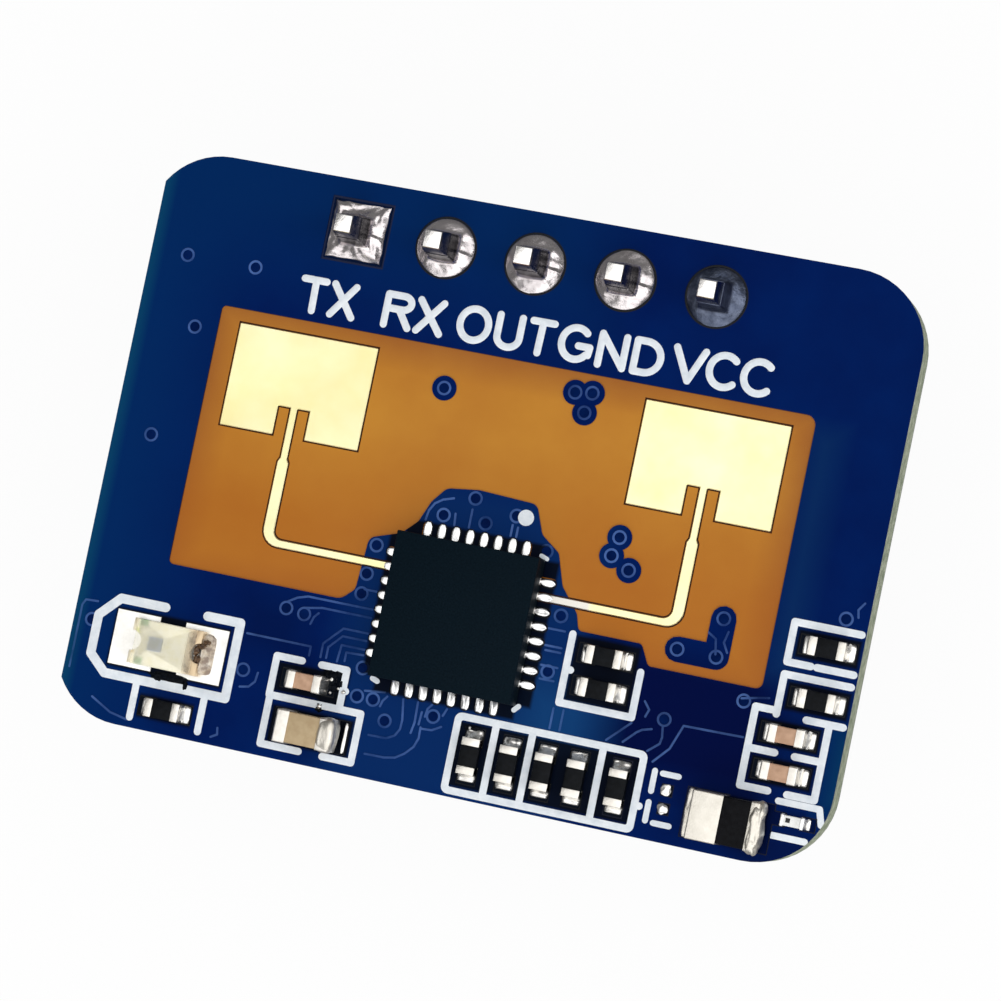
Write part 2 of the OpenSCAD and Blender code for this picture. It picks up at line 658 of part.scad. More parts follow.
module row_frame() {
    left = resistor_at[3].x - print_side;
    right = resistor_at[7].x + print_side;
    y = resistor_at[3].y;
    half = resistor_half + print_gap;
    translate([(left + right) / 2, y]) frame((right - left) / 2, half, print_w);
    for (i = [3, 4, 6])
        translate([(resistor_at[i].x + resistor_at[i + 1].x) / 2, y]) box_outline(print_w, 2 * half);
    translate([right + 0.13, y - 0.35]) circle(print_w / 2);
}

module edge_resistor_frames() {
    x = resistor_half + print_gap;
    for (i = [8, 9]) {
        p = resistor_at[i];
        right = right_x - 0.12;
        line([[right, p.y + print_side], [p.x - x, p.y + print_side], [p.x - x, p.y - print_side]], print_w);
        line([[right, p.y - print_side], [p.x - 0.2, p.y - print_side]], print_w);
    }
    p = resistor_at[8];
    line([[p.x - x, p.y - print_side], [p.x - 0.36, p.y - print_side]], print_w);
}

module edge_capacitor_frames() {
    x = capacitor_half + print_gap;
    a = capacitor_at[2];
    b = capacitor_at[3];
    middle = (a.y + b.y) / 2;
    line([[a.x - 0.5, a.y + 0.6], [a.x - x, a.y + 0.6], [a.x - x, b.y - 0.52], [a.x - 0.25, b.y - 0.52]], print_w);
    line([[a.x + x, a.y + 0.44], [a.x + x, b.y - 0.52], [a.x + 0.27, b.y - 0.52]], print_w);
    line([[a.x - x, middle], [a.x - 0.27, middle]], print_w);
    line([[a.x + x, middle], [a.x + 0.27, middle]], print_w);
}

module middle_capacitor_frames() {
    a = capacitor_at[0];
    b = capacitor_at[1];
    ax = capacitor_half + print_gap;
    bx = large_half + print_gap;
    divide = a.y - print_side;
    low = b.y - large_capacitor_size.y / 2 - 0.16;
    line([[a.x - 0.28, a.y + print_side], [a.x - ax, a.y + print_side], [a.x - ax, divide]], print_w);
    line([[a.x + 0.28, a.y + print_side], [a.x + ax, a.y + print_side], [a.x + ax, divide]], print_w);
    line([[b.x - 0.2, low], [b.x - bx, low], [b.x - bx, divide], [b.x + bx, divide], [b.x + bx, low],
        [b.x + 0.48, low]], print_w);
    translate([a.x + ax + 0.08, a.y - 0.03]) circle(print_w / 2);
}

module corner_print() {
    p = filter_at;
    line([[p.x - 0.5, p.y + 0.46], [p.x + 0.62, p.y + 0.46], [p.x + 0.74, p.y + 0.06]], 0.18);
    line([[p.x - 0.5, p.y - 0.46], [p.x + 0.4, p.y - 0.46]], 0.18);
    q = spare_pad_at[0];
    r = spare_pad_at[1];
    line([[q.x - 0.42, q.y + 0.45], [q.x - 0.42, q.y - 0.1]], 0.16);
    line([[r.x - 0.42, r.y + 0.1], [r.x - 0.42, r.y - 0.4]], 0.16);
    line([[q.x - 0.2, q.y + 0.42], [q.x + 0.24, q.y + 0.42]], 0.16);
    line([[r.x - 0.2, r.y - 0.42], [r.x + 0.24, r.y - 0.42]], 0.16);
}

// Corner marks and the dot beside the chip's first terminal
module chip_marks() put(chip_at) {
    line([[1.85, 2.09], [2.02, 2.03]], 0.12);
    line([[-2.06, -2.07], [-1.92, -2.12]], 0.15);
    line([[1.96, -2.12], [2.07, -2]], 0.14);
    translate([1.22, 3.01]) circle(0.22);
}

module print_outlines() {
    put(sensor_at) sensor_frame();
    first_resistor_bars(resistor_at[0]);
    pair_frame();
    row_frame();
    edge_resistor_frames();
    edge_capacitor_frames();
    middle_capacitor_frames();
    corner_print();
    chip_marks();
}

module legend_print() color([0.86, 0.9, 0.94])
    on_front() linear_extrude(print_t) intersection() {
        print_outlines();
        front_mask_outline();
    }

// Header

module strip_place_outline() {
    w = pin_pitch / 2;
    d = strip_w / 2;
    n = strip_notch;
    polygon([[-w, -d + n], [-w + n, -d], [w - n, -d], [w, -d + n],
        [w, d - n], [w - n, d], [-w + n, d], [-w, d - n]]);
}

module header_strip() color([0.05, 0.05, 0.06])
    linear_extrude(strip_h) difference() {
        for (x = pin_x) translate([x, 0]) strip_place_outline();
        for (x = pin_x) translate([x, 0]) box_outline(pin_w, pin_w);
    }

// Side view of a pin, tapering to half its width below and chamfered at its cut upper end
module pin_profile() {
    low = -pin_below;
    high = front_z + pin_above;
    a = pin_w / 2;
    b = pin_w / 4;
    c = a - pin_chamfer;
    rotate([90, 0, 0]) translate([0, 0, -a]) linear_extrude(pin_w) polygon([
        [-b, low], [b, low], [a, low + pin_taper], [a, high - pin_chamfer],
        [c, high], [-c, high], [-a, high - pin_chamfer], [-a, low + pin_taper]]);
}

module header_pin(i) color([0.87, 0.85, 0.8])
    translate([pin_x[i - 1], 0, 0]) intersection() {
        pin_profile();
        rotate(90) pin_profile();
    }

// Hollow-sided fillet of solder, its foot r0 wide and its neck r1, risen to height h
function hollow(r0, r1, h) = [for (i = [0 : 8]) let (a = 90 * i / 8)
    [r1 + (r0 - r1) * (1 - sin(a)), h * (1 - cos(a))]];

module pin_solder() color([0.8, 0.8, 0.82])
    for (i = [0 : pin_count - 1]) translate([pin_x[i], 0, 0]) difference() {
        union() {
            translate([0, 0, back_z]) cylinder(h = board_t, r = hole_d / 2);
            translate([0, 0, front_z]) rotate_extrude()
                polygon(concat([[0, 0]], hollow(pad_d / 2 - 0.02, pin_w * 0.72, pin_solder_h), [[0, pin_solder_h]]));
        }
        translate([-pin_w / 2, -pin_w / 2, back_z - 1]) cube([pin_w, pin_w, board_t + pin_above + 1]);
    }

// Radar chip

module terminal(y)
    translate([chip_w / 2 - terminal_l, y - terminal_w / 2, chip_lift])
        cube([terminal_l, terminal_w, terminal_h]);

module terminals() {
    for (a = [0 : 90 : 270], y = terminal_y) rotate(a) terminal(y);
    translate([-heat_pad / 2, -heat_pad / 2, chip_lift]) cube([heat_pad, heat_pad, terminal_h]);
}

module radar_chip_body() color([0.04, 0.09, 0.12])
    on_front() put(chip_at) difference() {
        translate([-chip_w / 2, -chip_w / 2, chip_lift]) cube([chip_w, chip_w, chip_h]);
        terminals();
    }

module radar_chip_terminals() color([0.8, 0.8, 0.8])
    on_front() put(chip_at) terminals();

// Solder under and before one terminal, from the side
module toe_profile() {
    rise = chip_lift + terminal_h;
    side = chip_w / 2;
    polygon(concat([[land_in, chip_lift], [land_in, 0]],
        hollow(land_out - 0.02, side, rise), [[side, chip_lift]]));
}

module chip_solder() color([0.88, 0.88, 0.88])
    on_front() put(chip_at) {
        for (a = [0 : 90 : 270], y = terminal_y) rotate(a)
            translate([0, y + terminal_w / 2, 0]) rotate([90, 0, 0]) linear_extrude(terminal_w) toe_profile();
        translate([-heat_pad / 2, -heat_pad / 2, 0]) cube([heat_pad, heat_pad, chip_lift]);
    }

// Two-ended chip parts

// Ceramic between the metal ends, which wrap its long sides too where wrapped is true
module core(size, wrapped) {
    w = wrapped ? size.y - 2 * end_t : size.y;
    translate([-size.x / 2 + end_t, -w / 2, end_t]) cube([size.x - 2 * end_t, w, size.z - 2 * end_t]);
}

// Rounded side of a box w long and h high, its foot at zero
module soft_side(w, h, r) polygon(outline([
    [-w / 2, 0, r], [w / 2, 0, r], [w / 2, h, r], [-w / 2, h, r]]));

// Box whose upright and top edges are rounded
module soft_box(size, r) intersection() {
    linear_extrude(size.z) translate([0, -size.y / 2]) soft_side(size.x, size.y, r);
    translate([0, size.y / 2, 0]) rotate([90, 0, 0]) linear_extrude(size.y) soft_side(size.x, size.z, r);
    translate([-size.x / 2, 0, 0]) rotate([90, 0, 90]) linear_extrude(size.x) soft_side(size.y, size.z, r);
}

module end_boxes(size, band, band2)
    for (side = [-1, 1]) {
        b = side < 0 ? band : band2;
        translate([side < 0 ? -size.x / 2 : size.x / 2 - b, -size.y / 2, 0]) cube([b, size.y, size.z]);
    }

module ends(size, band, band2, wrapped) difference() {
    if (wrapped) intersection() {
        end_boxes(size, band, band2);
        soft_box(size, end_round);
    }
    else end_boxes(size, band, band2);
    core(size, wrapped);
}

// Solder on both lands of a part
module end_fillets(size)
    for (a = [0, 180]) rotate(a)
        translate([size.x / 2, size.y / 2, 0]) rotate([90, 0, 0]) linear_extrude(size.y)
            polygon(concat([[0, 0]], hollow(land_reach, 0, climb * size.z)));

module resistor(i) color([0.04, 0.05, 0.06]) on_front() put(resistor_at[i - 1]) core(resistor_size, false);

module resistor_ends() color([0.9, 0.9, 0.88])
    on_front() for (p = resistor_at) put(p) ends(resistor_size, resistor_band, resistor_band, false);

module small_capacitor(p) put(p) core(capacitor_size, true);
module large_capacitor(p) put(p) core(large_capacitor_size, true);
module small_capacitor_ends(p) put(p) ends(capacitor_size, capacitor_band, capacitor_band, true);
module large_capacitor_ends(p) put(p) ends(large_capacitor_size, large_capacitor_band, large_capacitor_band, true);

module capacitor(i) color([0.7, 0.58, 0.44]) on_front() {
    if (i == 2) large_capacitor(capacitor_at[1]);
    else small_capacitor(capacitor_at[i - 1]);
}

module capacitor_ends() color([0.9, 0.88, 0.84]) on_front() {
    for (i = small_capacitors) small_capacitor_ends(capacitor_at[i]);
    large_capacitor_ends(capacitor_at[1]);
}

module ferrite_bead_body() color([0.03, 0.03, 0.04]) on_front() put(bead_at) core(bead_size, true);

module ferrite_bead_ends() color([0.93, 0.9, 0.86])
    on_front() put(bead_at) ends(bead_size, bead_broad_band, bead_narrow_band, true);

module filter_chip_body() color([0.95, 0.95, 0.93]) on_front() put(filter_at) core(filter_size, true);

module filter_chip_ends() color([0.9, 0.9, 0.88])
    on_front() put(filter_at) ends(filter_size, filter_band, filter_band, true);

// Light sensor

module notches(r)
    for (x = [-sensor_l / 2, sensor_l / 2]) translate([x, 0, -1]) cylinder(h = carrier_h + 2, r = r);

module carrier_core()
    translate([-sensor_l / 2 + end_t, -sensor_w / 2, end_t])
        cube([sensor_l - 2 * end_t, sensor_w, carrier_h - 2 * end_t]);

module light_sensor_carrier() color([0.93, 0.88, 0.7])
    on_front() put(sensor_at) difference() {
        union() {
            carrier_core();
            translate([-lens_foot / 2, -sensor_w / 2, end_t]) cube([lens_foot, sensor_w, carrier_h - end_t]);
        }
        notches(notch_r);
    }

module light_sensor_contacts() color([0.85, 0.78, 0.55])
    on_front() put(sensor_at) difference() {
        for (side = [-1, 1]) {
            from = side < 0 ? -sensor_l / 2 : lens_foot / 2;
            translate([from, -sensor_w / 2, 0]) cube([(sensor_l - lens_foot) / 2, sensor_w, carrier_h]);
        }
        carrier_core();
        notches(notch_r);
    }

module die_place() translate([-0.27, 0, carrier_h]) children();

module light_sensor_die() color([0.35, 0.42, 0.55])
    on_front() put(sensor_at) die_place() translate([-die_w / 2, -die_w / 2, 0]) cube([die_w, die_w, die_h]);

module light_sensor_lens() color([0.96, 0.95, 0.82, 0.6])
    on_front() put(sensor_at) difference() {
        translate([0, sensor_w / 2, carrier_h]) rotate([90, 0, 0]) linear_extrude(sensor_w)
            polygon([[-lens_foot / 2, 0], [lens_foot / 2, 0], [lens_top / 2, lens_h], [-lens_top / 2, lens_h]]);
        die_place() translate([-die_w / 2, -die_w / 2, 0]) cube([die_w, die_w, die_h]);
    }

module sensor_fillets()
    for (a = [0, 180]) rotate(a)
        translate([sensor_l / 2, sensor_w / 2, 0]) rotate([90, 0, 0]) linear_extrude(sensor_w)
            polygon(concat([[0, 0]], hollow(0.3, 0, carrier_h * climb)));

module front_solder() color([0.85, 0.85, 0.84]) on_front() {
    put(sensor_at) sensor_fillets();
    for (p = resistor_at) put(p) end_fillets(resistor_size);
    for (i = small_capacitors) put(capacitor_at[i]) end_fillets(capacitor_size);
    put(capacitor_at[1]) end_fillets(large_capacitor_size);
    put(bead_at) end_fillets(bead_size);
    put(filter_at) end_fillets(filter_size);
    for (p = spare_pad_at) put(p) cylinder(h = spare_solder_h, r = spare_land / 2 - 0.02);
}

// Back

module crystal_base() color([0.55, 0.5, 0.42])
    on_back() put(crystal_at) translate([-crystal_size.x / 2, -crystal_size.y / 2, chip_lift])
        cube([crystal_size.x, crystal_size.y, crystal_base_h]);

module crystal_can() color([0.8, 0.8, 0.82])
    on_back() put(crystal_at)
        translate([0, crystal_rim - crystal_size.y / 2, chip_lift + crystal_base_h]) linear_extrude(crystal_can_h)
            soft_side(crystal_size.x - 2 * crystal_rim, crystal_size.y - 2 * crystal_rim, can_corner_r);

// Body seen from one side, w wide at mid-height and leaning in by a tenth above and below
module leaning_side(w, h, along) rotate([90, 0, 0]) translate([0, 0, -along / 2]) linear_extrude(along)
    polygon([[-w / 2 + 0.05, 0], [w / 2 - 0.05, 0], [w / 2, h / 2], [w / 2 - 0.1, h],
        [-w / 2 + 0.1, h], [-w / 2, h / 2]]);

module regulator_solid() translate([0, 0, regulator_lift]) intersection() {
    leaning_side(regulator_size.x, regulator_size.z, regulator_size.y);
    rotate(90) leaning_side(regulator_size.y, regulator_size.z, regulator_size.x);
}

module regulator_body() color([0.07, 0.07, 0.08]) on_back() put(regulator_at) regulator_solid();

// Gull-wing lead, from the body's side to its foot on the board
module lead() {
    mid = regulator_lift + regulator_size.z / 2;
    side = regulator_size.y / 2;
    foot = foot_solder_t + lead_t / 2;
    rotate([90, 0, 90]) translate([0, 0, -lead_w / 2]) linear_extrude(lead_w)
        line([[side - 0.05, mid], [side + 0.22, mid], [side + 0.32, foot], [side + lead_reach, foot]], lead_t);
}

module regulator_leads() color([0.8, 0.8, 0.8])
    on_back() put(regulator_at) difference() {
        for (p = lead_at) translate([p.x, 0, 0]) mirror([0, p.y < 0 ? 1 : 0, 0]) lead();
        regulator_solid();
    }

module back_capacitor(i) color([0.7, 0.58, 0.44]) on_back() {
    if (i < 7) small_capacitor(back_capacitor_at[i - 5]);
    else large_capacitor(back_capacitor_at[i - 5]);
}

module back_capacitor_ends() color([0.9, 0.88, 0.84]) on_back() {
    for (i = [0, 1]) small_capacitor_ends(back_capacitor_at[i]);
    for (i = [2, 3]) large_capacitor_ends(back_capacitor_at[i]);
}

module back_solder() color([0.85, 0.85, 0.84]) on_back() {
    for (i = [0, 1]) put(back_capacitor_at[i]) end_fillets(capacitor_size);
    for (i = [2, 3]) put(back_capacitor_at[i]) end_fillets(large_capacitor_size);
    put(crystal_at) for (sx = [-1, 1], sy = [-1, 1])
        translate([sx * (crystal_size.x / 2 - 0.5) - 0.5, sy * (crystal_size.y / 2 - 0.4) - 0.4, 0])
            cube([1, 0.8, chip_lift]);
    put(regulator_at) for (p = lead_at)
        translate([p.x - lead_w / 2, p.y * (regulator_size.y / 2 + lead_reach - 0.12) - 0.25, 0])
            cube([lead_w, 0.5, foot_solder_t]);
}

laminate();
front_solder_mask();
back_solder_mask();
transmit_antenna();
receive_antenna();
hole_plating();
front_lands();
back_lands();
legend_print();
header_strip();
header_pin(1);  // header_pin_1
header_pin(2);  // header_pin_2
header_pin(3);  // header_pin_3
header_pin(4);  // header_pin_4
header_pin(5);  // header_pin_5
pin_solder();
radar_chip_body();
radar_chip_terminals();
chip_solder();
light_sensor_carrier();
light_sensor_contacts();
light_sensor_lens();
light_sensor_die();
resistor(1);  // resistor_1
resistor(2);  // resistor_2
resistor(3);  // resistor_3
resistor(4);  // resistor_4
resistor(5);  // resistor_5
resistor(6);  // resistor_6
resistor(7);  // resistor_7
resistor(8);  // resistor_8
resistor(9);  // resistor_9
resistor(10);  // resistor_10
resistor_ends();
capacitor(1);  // capacitor_1
capacitor(2);  // capacitor_2
capacitor(3);  // capacitor_3
capacitor(4);  // capacitor_4
capacitor_ends();
ferrite_bead_body();
ferrite_bead_ends();
filter_chip_body();
filter_chip_ends();
front_solder();
crystal_base();
crystal_can();
regulator_body();
regulator_leads();
back_capacitor(5);  // capacitor_5
back_capacitor(6);  // capacitor_6
back_capacitor(7);  // capacitor_7
back_capacitor(8);  // capacitor_8
back_capacitor_ends();
back_solder();
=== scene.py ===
# %% [markdown]
# The object is a small presence radar on a blue circuit board, 21.7 mm wide.
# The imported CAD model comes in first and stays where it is.
# Every piece below is made around it, in metres, in the same frame:
# the header's strip stands on z = 0 and the antennas look along +Z.

import math

import bmesh
import bpy
from mathutils import Matrix, Vector, noise


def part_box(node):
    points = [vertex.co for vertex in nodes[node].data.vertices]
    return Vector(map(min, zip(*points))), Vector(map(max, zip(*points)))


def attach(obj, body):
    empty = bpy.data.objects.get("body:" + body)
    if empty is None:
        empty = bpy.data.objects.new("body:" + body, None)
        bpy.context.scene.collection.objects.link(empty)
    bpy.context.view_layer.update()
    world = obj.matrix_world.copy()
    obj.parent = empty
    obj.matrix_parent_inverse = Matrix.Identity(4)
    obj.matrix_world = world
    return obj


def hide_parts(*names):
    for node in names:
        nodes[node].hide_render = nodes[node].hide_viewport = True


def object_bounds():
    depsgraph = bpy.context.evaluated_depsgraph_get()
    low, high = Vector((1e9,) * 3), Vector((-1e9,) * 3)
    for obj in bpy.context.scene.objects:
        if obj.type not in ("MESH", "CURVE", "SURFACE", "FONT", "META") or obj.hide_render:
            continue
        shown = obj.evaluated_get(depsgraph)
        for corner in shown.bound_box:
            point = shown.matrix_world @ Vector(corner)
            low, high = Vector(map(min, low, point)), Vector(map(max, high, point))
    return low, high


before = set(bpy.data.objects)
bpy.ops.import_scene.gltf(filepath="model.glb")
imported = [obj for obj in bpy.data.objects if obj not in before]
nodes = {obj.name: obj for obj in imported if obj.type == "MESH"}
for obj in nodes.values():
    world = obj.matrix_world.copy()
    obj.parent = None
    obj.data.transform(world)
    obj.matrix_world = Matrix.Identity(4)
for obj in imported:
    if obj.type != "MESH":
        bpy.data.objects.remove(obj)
cad_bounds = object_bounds()
print("pieces in the frame:", len(nodes))

# %% [markdown]
# The pieces are tiny, so their meshes are worked on in millimetres and
# made metres at the very end. A bevel of 0.01 mm would drown in rounding
# if it was asked for in metres. Places on the board are told as on a
# drawing: from its left edge and from the edge beside the light sensor.

# %% Millimetres and places
MM = 0.001
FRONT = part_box("legend_print")[0].z / MM
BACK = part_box("back_lands")[0].z / MM


def box_mm(node):
    """Lowest and highest corner of a CAD node, in millimetres."""
    low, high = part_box(node)
    return low / MM, high / MM


def middle_mm(node):
    low, high = box_mm(node)
    return (low + high) / 2


board_low, board_high = box_mm("back_solder_mask")


def on_board(x, y):
    """Place in the frame of a point on the board, from its left edge and its sensor edge."""
    return board_low.xy + Vector((x, y))


print("board's front face at", round(FRONT, 3), "mm and back face at", round(BACK, 3), "mm")

# %% [markdown]
# Small effects are shared by many finishes, so each is a node group.
# The first is a drift: a soft noise between two levels, in patches of a
# given size. Real varnish, solder and ceramic are never one even tone.

# %% Node group for drifting tones


def new_group(name, inputs, outputs):
    """Empty shader node group with the given sockets; returns the tree and its two end nodes."""
    tree = bpy.data.node_groups.new(name, "ShaderNodeTree")
    for socket, kind, value in inputs:
        made = tree.interface.new_socket(socket, in_out="INPUT", socket_type="NodeSocket" + kind)
        made.default_value = value
    for socket, kind in outputs:
        tree.interface.new_socket(socket, in_out="OUTPUT", socket_type="NodeSocket" + kind)
    return tree, tree.nodes.new("NodeGroupInput"), tree.nodes.new("NodeGroupOutput")


def new_node(tree, kind, operation=None, **values):
    """Node of a kind with some of its input sockets set by name."""
    made = tree.nodes.new("ShaderNode" + kind)
    if operation:
        made.operation = operation
    for socket, value in values.items():
        made.inputs[socket.replace("_", " ")].default_value = value
    return made


drift, drift_in, drift_out = new_group(
    "drift",
    [("Place", "Vector", (0, 0, 0)), ("Per metre", "Float", 1000.0), ("Low", "Float", 0.0), ("High", "Float", 1.0)],
    [("Value", "Float")])
drift_noise = new_node(drift, "TexNoise", Detail=4.0, Roughness=0.55)
drift_range = new_node(drift, "MapRange", From_Min=0.32, From_Max=0.68)
drift.links.new(drift_in.outputs["Place"], drift_noise.inputs["Vector"])
drift.links.new(drift_in.outputs["Per metre"], drift_noise.inputs["Scale"])
drift.links.new(drift_noise.outputs["Fac"], drift_range.inputs["Value"])
drift.links.new(drift_in.outputs["Low"], drift_range.inputs["To Min"])
drift.links.new(drift_in.outputs["High"], drift_range.inputs["To Max"])
drift.links.new(drift_range.outputs["Result"], drift_out.inputs["Value"])

# %% [markdown]
# The second effect tells how deep a point lies inside a box on the board,
# from 0 outside to 1 inside with a soft rim. It paints the varnish's
# patches, the painted shade inside the printed frames and stains on parts.

# %% Node group for a soft box
soft_box, soft_in, soft_out = new_group(
    "soft_box",
    [("Place", "Vector", (0, 0, 0)), ("Middle", "Vector", (0, 0, 0)), ("Half", "Vector", (1, 1, 1)),
     ("Rim", "Float", 0.0002)],
    [("Value", "Float")])
away = new_node(soft_box, "VectorMath", "SUBTRACT")
size = new_node(soft_box, "VectorMath", "ABSOLUTE")
inside = new_node(soft_box, "VectorMath", "SUBTRACT")
split = new_node(soft_box, "SeparateXYZ")
least = new_node(soft_box, "Math", "MINIMUM")
ramp = new_node(soft_box, "Math", "DIVIDE")
ramp.use_clamp = True
soft_box.links.new(soft_in.outputs["Place"], away.inputs[0])
soft_box.links.new(soft_in.outputs["Middle"], away.inputs[1])
soft_box.links.new(away.outputs[0], size.inputs[0])
soft_box.links.new(soft_in.outputs["Half"], inside.inputs[0])
soft_box.links.new(size.outputs[0], inside.inputs[1])
soft_box.links.new(inside.outputs[0], split.inputs[0])
soft_box.links.new(split.outputs["X"], least.inputs[0])
soft_box.links.new(split.outputs["Y"], least.inputs[1])
soft_box.links.new(least.outputs[0], ramp.inputs[0])
soft_box.links.new(soft_in.outputs["Rim"], ramp.inputs[1])
soft_box.links.new(ramp.outputs[0], soft_out.inputs["Value"])
print("shared effects:", [g.name for g in bpy.data.node_groups])

# %% [markdown]
# One function makes the usual finish: two tones that drift into each
# other, a gloss that drifts with them, and a fine grain as bump. Sizes are
# in millimetres on the part, so a grain of 0.03 stays 0.03 on every piece.

# %% The usual finish


def use_group(tree, group, place, **values):
    """Group node in a material, fed with the place, its other inputs set by name."""
    made = tree.nodes.new("ShaderNodeGroup")
    made.node_tree = group
    tree.links.new(place, made.inputs["Place"])
    for socket, value in values.items():
        made.inputs[socket.replace("_", " ")].default_value = value
    return made.outputs["Value"]


def mix_colours(tree, factor, first, second):
    """Colour between two colours, each a tuple or a socket."""
    made = tree.nodes.new("ShaderNodeMix")
    made.data_type = "RGBA"
    tree.links.new(factor, made.inputs["Factor"])
    for name, colour in (("A", first), ("B", second)):
        socket = [s for s in made.inputs if s.name == name and s.type == "RGBA"][0]
        if isinstance(colour, tuple):
            socket.default_value = (*colour, 1)
        else:
            tree.links.new(colour, socket)
    return [s for s in made.outputs if s.type == "RGBA"][0]


def from_screen(red, green, blue):
    """Linear colour of a screen colour from 0 to 255."""
    return tuple((c / 255 / 12.92) if c <= 10 else ((c / 255 + 0.055) / 1.055) ** 2.4 for c in (red, green, blue))


def finish(name, tones, patch, gloss, metal=0.0, specular=0.5, grain=0.05, depth=0.002):
    """Principled material with drifting tones and gloss, its grain as bump."""
    material = bpy.data.materials.new(name)
    material.use_nodes = True
    tree = material.node_tree
    shader = tree.nodes["Principled BSDF"]
    shader.inputs["Metallic"].default_value = metal
    shader.inputs["Specular IOR Level"].default_value = specular
    place = tree.nodes.new("ShaderNodeTexCoord").outputs["Object"]
    tone = use_group(tree, drift, place, Per_metre=1 / (patch * MM))
    first, second = (from_screen(*t) for t in tones)
    tree.links.new(mix_colours(tree, tone, first, second), shader.inputs["Base Color"])
    rough = use_group(tree, drift, place, Per_metre=0.6 / (patch * MM), Low=gloss[0], High=gloss[1])
    tree.links.new(rough, shader.inputs["Roughness"])
    height = use_group(tree, drift, place, Per_metre=1 / (grain * MM))
    bump = new_node(tree, "Bump", Strength=1.0, Distance=depth * MM)
    tree.links.new(height, bump.inputs["Height"])
    tree.links.new(bump.outputs["Normal"], shader.inputs["Normal"])
    return material, tree, shader, place


# %% [markdown]
# More tones are laid over a finish with masks: a box on the board, or
# whatever lies above a height. A glaze is a clear gloss that only shows at
# a shallow angle, which is how varnish and moulding compounds behave.

# %% Masks and glaze


def product(tree, first, second):
    made = new_node(tree, "Math", "MULTIPLY")
    for socket, value in zip(made.inputs, (first, second)):
        if isinstance(value, (int, float)):
            socket.default_value = value
        else:
            tree.links.new(value, socket)
    return made.outputs[0]


def opposite(tree, factor):
    made = new_node(tree, "Math", "SUBTRACT")
    made.inputs[0].default_value = 1
    tree.links.new(factor, made.inputs[1])
    return made.outputs[0]


def box_mask(tree, place, low, high, rim):
    """Mask of a box on the board, its corners in the frame and its soft rim in millimetres."""
    low, high = Vector((*low, 0)), Vector((*high, 0))
    return use_group(tree, soft_box, place, Middle=(low + high) / 2 * MM, Half=(high - low) / 2 * MM, Rim=rim * MM)


def where_higher(tree, place, height, soft):
    """Mask of what lies above a height in the frame, in millimetres."""
    split = new_node(tree, "SeparateXYZ")
    tree.links.new(place, split.inputs[0])
    ramp = new_node(tree, "MapRange", From_Min=(height - soft) * MM, From_Max=(height + soft) * MM)
    tree.links.new(split.outputs["Z"], ramp.inputs["Value"])
    return ramp.outputs["Result"]


def repaint(material, factor, tone, share=1.0):
    """Lays one more screen tone over a finish where the factor says so."""
    tree = material.node_tree
    target = tree.nodes["Principled BSDF"].inputs["Base Color"]
    before = target.links[0].from_socket
    tree.links.new(mix_colours(tree, product(tree, factor, share), before, from_screen(*tone)), target)


def glaze(material, most, roughness=0.12):
    tree = material.node_tree
    shader = tree.nodes["Principled BSDF"]
    slant = new_node(tree, "LayerWeight", Blend=0.5)
    rise = new_node(tree, "MapRange", From_Min=0.15, From_Max=0.8, To_Max=most)
    tree.links.new(slant.outputs["Facing"], rise.inputs["Value"])
    tree.links.new(rise.outputs["Result"], shader.inputs["Coat Weight"])
    shader.inputs["Coat Roughness"].default_value = roughness


# %% [markdown]
# A CAD node with the right shape keeps its mesh and only gets a finish.
# A new piece is worked on as a bmesh in millimetres; when it is done it is
# scaled to metres, shaded smooth except across sharp edges, tied to the
# board and set in the place of the CAD nodes that it stands for.

# %% Dressing and placing pieces


def dress(material, *names):
    """Gives a finish to CAD nodes that keep their shape."""
    for name in names:
        slots = nodes[name].data.materials
        slots.clear()
        slots.append(material)


def add_piece(name, bm, material, slot, *stands_for, smooth=35):
    """Finished piece from a bmesh in millimetres."""
    bmesh.ops.scale(bm, vec=(MM, MM, MM), verts=bm.verts)
    mesh = bpy.data.meshes.new(name)
    bm.to_mesh(mesh)
    bm.free()
    mesh.shade_smooth()
    mesh.set_sharp_from_angle(angle=math.radians(smooth))
    mesh.materials.append(material)
    piece = bpy.data.objects.new(name, mesh)
    bpy.context.scene.collection.objects.link(piece)
    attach(piece, "root")
    if stands_for:
        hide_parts(*stands_for)
    print(name, "has", len(mesh.polygons), "faces")
    return piece


def node_copy(name):
    """Closed bmesh of a CAD node in millimetres, its flat faces whole again."""
    bm = bmesh.new()
    bm.from_mesh(nodes[name].data)
    bmesh.ops.scale(bm, vec=(1 / MM, 1 / MM, 1 / MM), verts=bm.verts)
    bmesh.ops.remove_doubles(bm, verts=bm.verts, dist=1e-4)
    bmesh.ops.dissolve_limit(bm, angle_limit=math.radians(1), verts=bm.verts, edges=bm.edges)
    return bm


def soften(bm, width, segments=2, sharper_than=30):
    """Bevels every edge that is sharper than an angle."""
    sharp = [e for e in bm.edges if e.is_manifold and e.calc_face_angle(0) > math.radians(sharper_than)]
    bmesh.ops.bevel(bm, geom=sharp, offset=width, offset_type="OFFSET", segments=segments, profile=0.5,
                    affect="EDGES", clamp_overlap=True, material=-1)
    return bm


def merge_into(bm, other, place=Matrix()):
    """Adds another bmesh at a place to the first, and frees it."""
    bmesh.ops.transform(other, matrix=place, verts=other.verts)
    mesh = bpy.data.meshes.new("passing")
    other.to_mesh(mesh)
    other.free()
    bm.from_mesh(mesh)
    bpy.data.meshes.remove(mesh)
